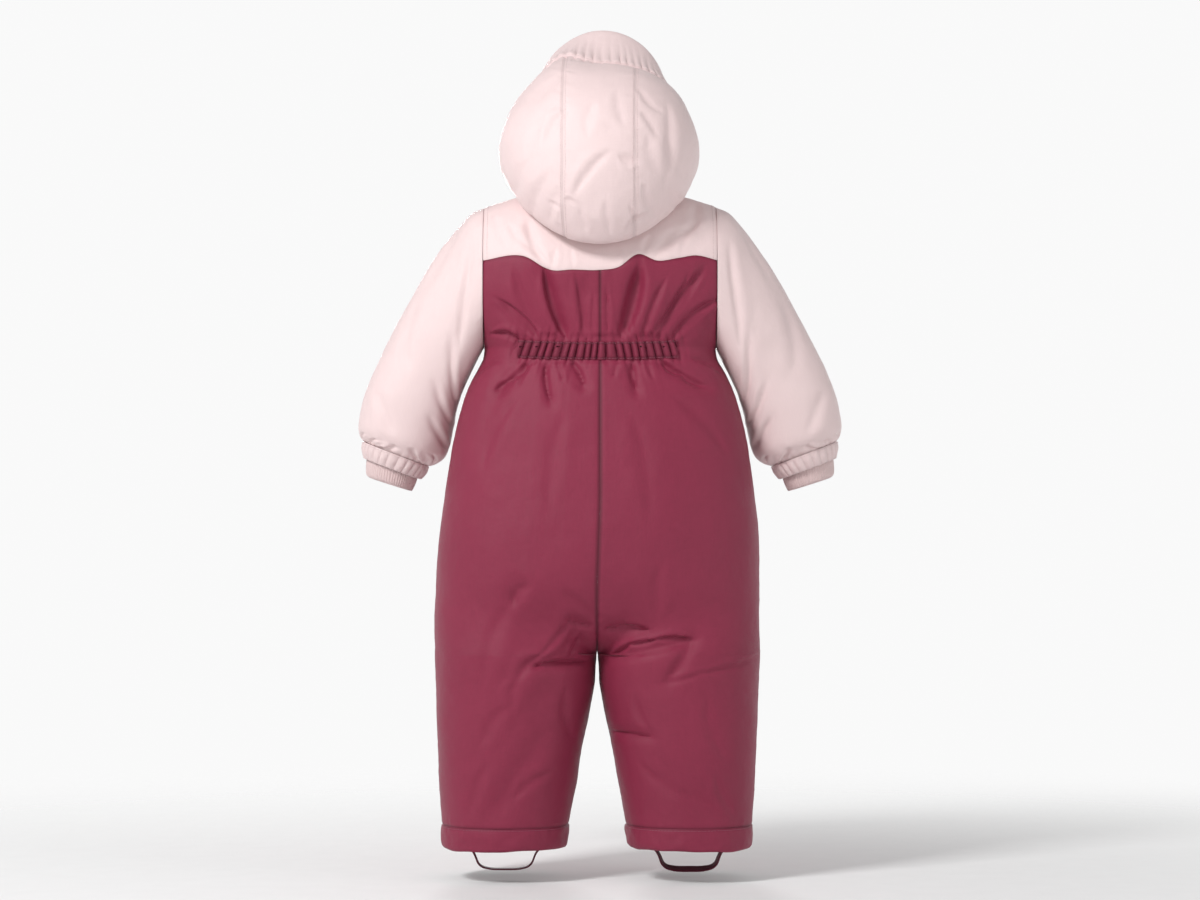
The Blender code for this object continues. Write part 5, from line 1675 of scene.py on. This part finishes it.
# Rings of thread along half a stitch each way: place, thickness and height, in shares.
STITCH_RINGS = np.array([
    (-1.0, 0.25, -0.35),
    (-0.72, 0.85, 0.0),
    (0.0, 1.0, 0.22),
    (0.72, 0.85, 0.0),
    (1.0, 0.25, -0.35),
])
# How far each line of stitches lies from its edge.
YOKE_STITCH = 5.0
ZIP_STITCH = 2.6
STRIP_STITCH = 2.4
BAND_STITCH = 2.2
HEM_LINE = 2.0
CASING_STITCH = 1.6


def line_across_rows(grid, distance, from_last=False):
    """A line at a distance from a panel's first or last column, one point for each row."""
    outer, out = (part[:, ::-1] if from_last else part for part in grid)
    gone = run_lengths(outer, 1)

    def at_distance(values):
        return np.array([[np.interp(distance, run, row[:, k]) for k in range(3)] for run, row in zip(gone, values)])

    return at_distance(outer), at_distance(out)


def line_along_edge(grid, distance, bottom=False, closed=False):
    """A line at a distance from a panel's top or bottom row."""
    line, way = line_across_rows([np.swapaxes(part, 0, 1) for part in grid], distance, bottom)
    if closed:
        line, way = np.concatenate([line, line[:1]]), np.concatenate([way, way[:1]])
    return line, way


def stitches(name, lines, finish):
    """One mesh of stitches along the given lines."""
    along, thick, rise = STITCH_RINGS.T[:, :, None, None]
    angles = (np.arange(THREAD_SIDES) * 2 * math.pi / THREAD_SIDES)[:, None]
    blocks = []
    for line, way in lines:
        even, out = along_path(line, way, STITCH + STITCH_GAP)
        step = unit(np.gradient(even, axis=0))
        across = unit(np.cross(step, out))
        even, out, step, across = (part[:, None, None] for part in (even, out, step, across))
        thread = (across * np.cos(angles) + out * np.sin(angles)) * thick * THREAD
        blocks.append(even + step * along * STITCH / 2 + out * (rise * THREAD + THREAD_LIFT) + thread)
    points = np.concatenate(blocks)
    count, rings = points.shape[:2]
    a = np.arange((rings - 1) * THREAD_SIDES)
    b = a // THREAD_SIDES * THREAD_SIDES + (a + 1) % THREAD_SIDES
    strip = np.stack([a, b, b + THREAD_SIDES, a + THREAD_SIDES], axis=1)
    faces = strip + (np.arange(count) * rings * THREAD_SIDES)[:, None, None]
    piece = placed(new_mesh(name, points, faces.reshape(-1, 4).tolist(), [finish]), SHARP_THREAD)
    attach(piece, "suit")
    print(name, count, "stitches", 2 * count * len(strip), "triangles")


pink_lines = [line_along_edge(GRIDS["hood_band"], BAND_STITCH)]
burgundy_lines = []
for from_end in (False, True):
    pink_lines.append(line_across_rows(GRIDS["yoke_back"], YOKE_STITCH, from_end))
    pink_lines.append(line_across_rows(GRIDS["hood_centre"], STRIP_STITCH, from_end))
    burgundy_lines.append(line_along_edge(GRIDS["waist_casing"], CASING_STITCH, from_end))
for _, word in SIDES:
    yoke, hood_side = GRIDS[f"yoke_front_{word}"], GRIDS[f"hood_{word}"]
    casing = GRIDS[f"sleeve_casing_{word}"]
    pink_lines += [
        line_across_rows(yoke, YOKE_STITCH, True),
        line_across_rows(yoke, ZIP_STITCH),
        line_across_rows(hood_side, STRIP_STITCH),
        line_across_rows(hood_side, ZIP_STITCH, True),
        line_along_edge(casing, CASING_STITCH, closed=True),
        line_along_edge(casing, CASING_STITCH, bottom=True, closed=True),
    ]
    burgundy_lines += [
        line_across_rows(GRIDS[f"front_{word}"], ZIP_STITCH),
        line_along_edge(GRIDS[f"hem_{word}"], HEM_LINE, closed=True),
    ]
stitches("stitching_pink", pink_lines, pink_thread)
stitches("stitching_burgundy", burgundy_lines, burgundy_thread)

# %% [markdown]
# The suit is shown as if worn, standing just over a pale floor. The floor fades out with distance, so
# that no edge of it shows. A pale room, dimmer overhead and underfoot, lights everything softly. A lamp
# high behind the wearer's left shoulder gives the form its shade, a weak one on the other side opens the
# shadows, and a third, low before the suit, lights the zip.

# %% Floor, light and camera
FLOOR_RADIUS = 2.4
FLOOR_LEVEL = -0.712
CAMERA_AWAY = 4.0
CAMERA_LEVEL = -0.2625
LENS = 114.3

bpy.ops.mesh.primitive_circle_add(vertices=96, radius=FLOOR_RADIUS, fill_type="NGON", location=(0, 0, FLOOR_LEVEL))
floor = bpy.context.active_object
floor.name = "floor"
paper = Recipe("pale_floor", {"Roughness": 0.9, "Specular IOR Level": 0.1})
spot = paper.node("ShaderNodeTexCoord", {}, {}, 3)
distance = paper.node("ShaderNodeVectorMath", {"operation": "LENGTH"}, {0: spot}, 1)
speckle = paper.noise(spot, 30.0)
paper.feed(paper.shader.inputs["Base Color"], paper.mix(speckle, (0.86, 0.86, 0.86, 1), (0.90, 0.90, 0.90, 1)))
fade = paper.node("ShaderNodeMapRange", {"interpolation_type": "SMOOTHSTEP"},
                  {"Value": distance, "From Min": 0.25, "From Max": 1.5, "To Min": 1.0, "To Max": 0.0})
paper.feed(paper.shader.inputs["Alpha"], fade)
floor.data.materials.append(paper.material)


class RoomRecipe(Recipe):
    """A room's light, built with the same node method as a material."""

    def __init__(self, name):
        self.room = bpy.data.worlds.new(name)
        self.room.use_nodes = True
        self.tree = self.room.node_tree


def stops_of(made, stops):
    """Sets the stops of a colour ramp, each a place and a grey."""
    elements = made.color_ramp.elements
    while len(elements) < len(stops):
        elements.new(0.5)
    for element, (place, grey) in zip(elements, stops):
        element.position = place
        element.color = (grey, grey, grey, 1)


room = RoomRecipe("pale_room")
direction = room.node("ShaderNodeTexCoord", {}, {}, 0)
height = room.node("ShaderNodeSeparateXYZ", {}, {0: direction}, 2)
share = room.node("ShaderNodeMapRange", {}, {"Value": height, "From Min": -1.0, "From Max": 1.0})
shade = room.node("ShaderNodeValToRGB", {}, {"Fac": share})
stops_of(shade.socket.node, [(0.30, 0.70), (0.42, 1.0), (0.58, 1.0), (0.66, 0.38)])
backdrop = room.tree.nodes["Background"]
room.feed(backdrop.inputs["Color"], shade)
backdrop.inputs["Strength"].default_value = 0.95
bpy.context.scene.world = room.room


def lamp(name, place, target, size, power_w):
    light = bpy.data.lights.new(name, "AREA")
    light.size = size
    light.energy = power_w
    holder = bpy.data.objects.new(name, light)
    holder.location = place
    holder.rotation_euler = (Vector(target) - Vector(place)).to_track_quat("-Z", "Y").to_euler()
    bpy.context.scene.collection.objects.link(holder)


lamp("lamp_above", (1.6, 1.9, 1.6), (0, 0, -0.25), 0.7, 62)
lamp("lamp_side", (-2.4, 1.4, 0.5), (0, 0, -0.3), 1.0, 6)
lamp("lamp_front", (0.3, -3.0, 0.2), (0, 0, -0.25), 0.8, 38)

camera_data = bpy.data.cameras.new("camera")
camera_data.sensor_width = 36
camera_data.lens = LENS
camera = bpy.data.objects.new("camera", camera_data)
camera.location = (0, CAMERA_AWAY, CAMERA_LEVEL)
camera.rotation_euler = (math.pi / 2, 0, math.pi)
bpy.context.scene.collection.objects.link(camera)
bpy.context.scene.camera = camera
bpy.context.scene.view_settings.view_transform = "Standard"
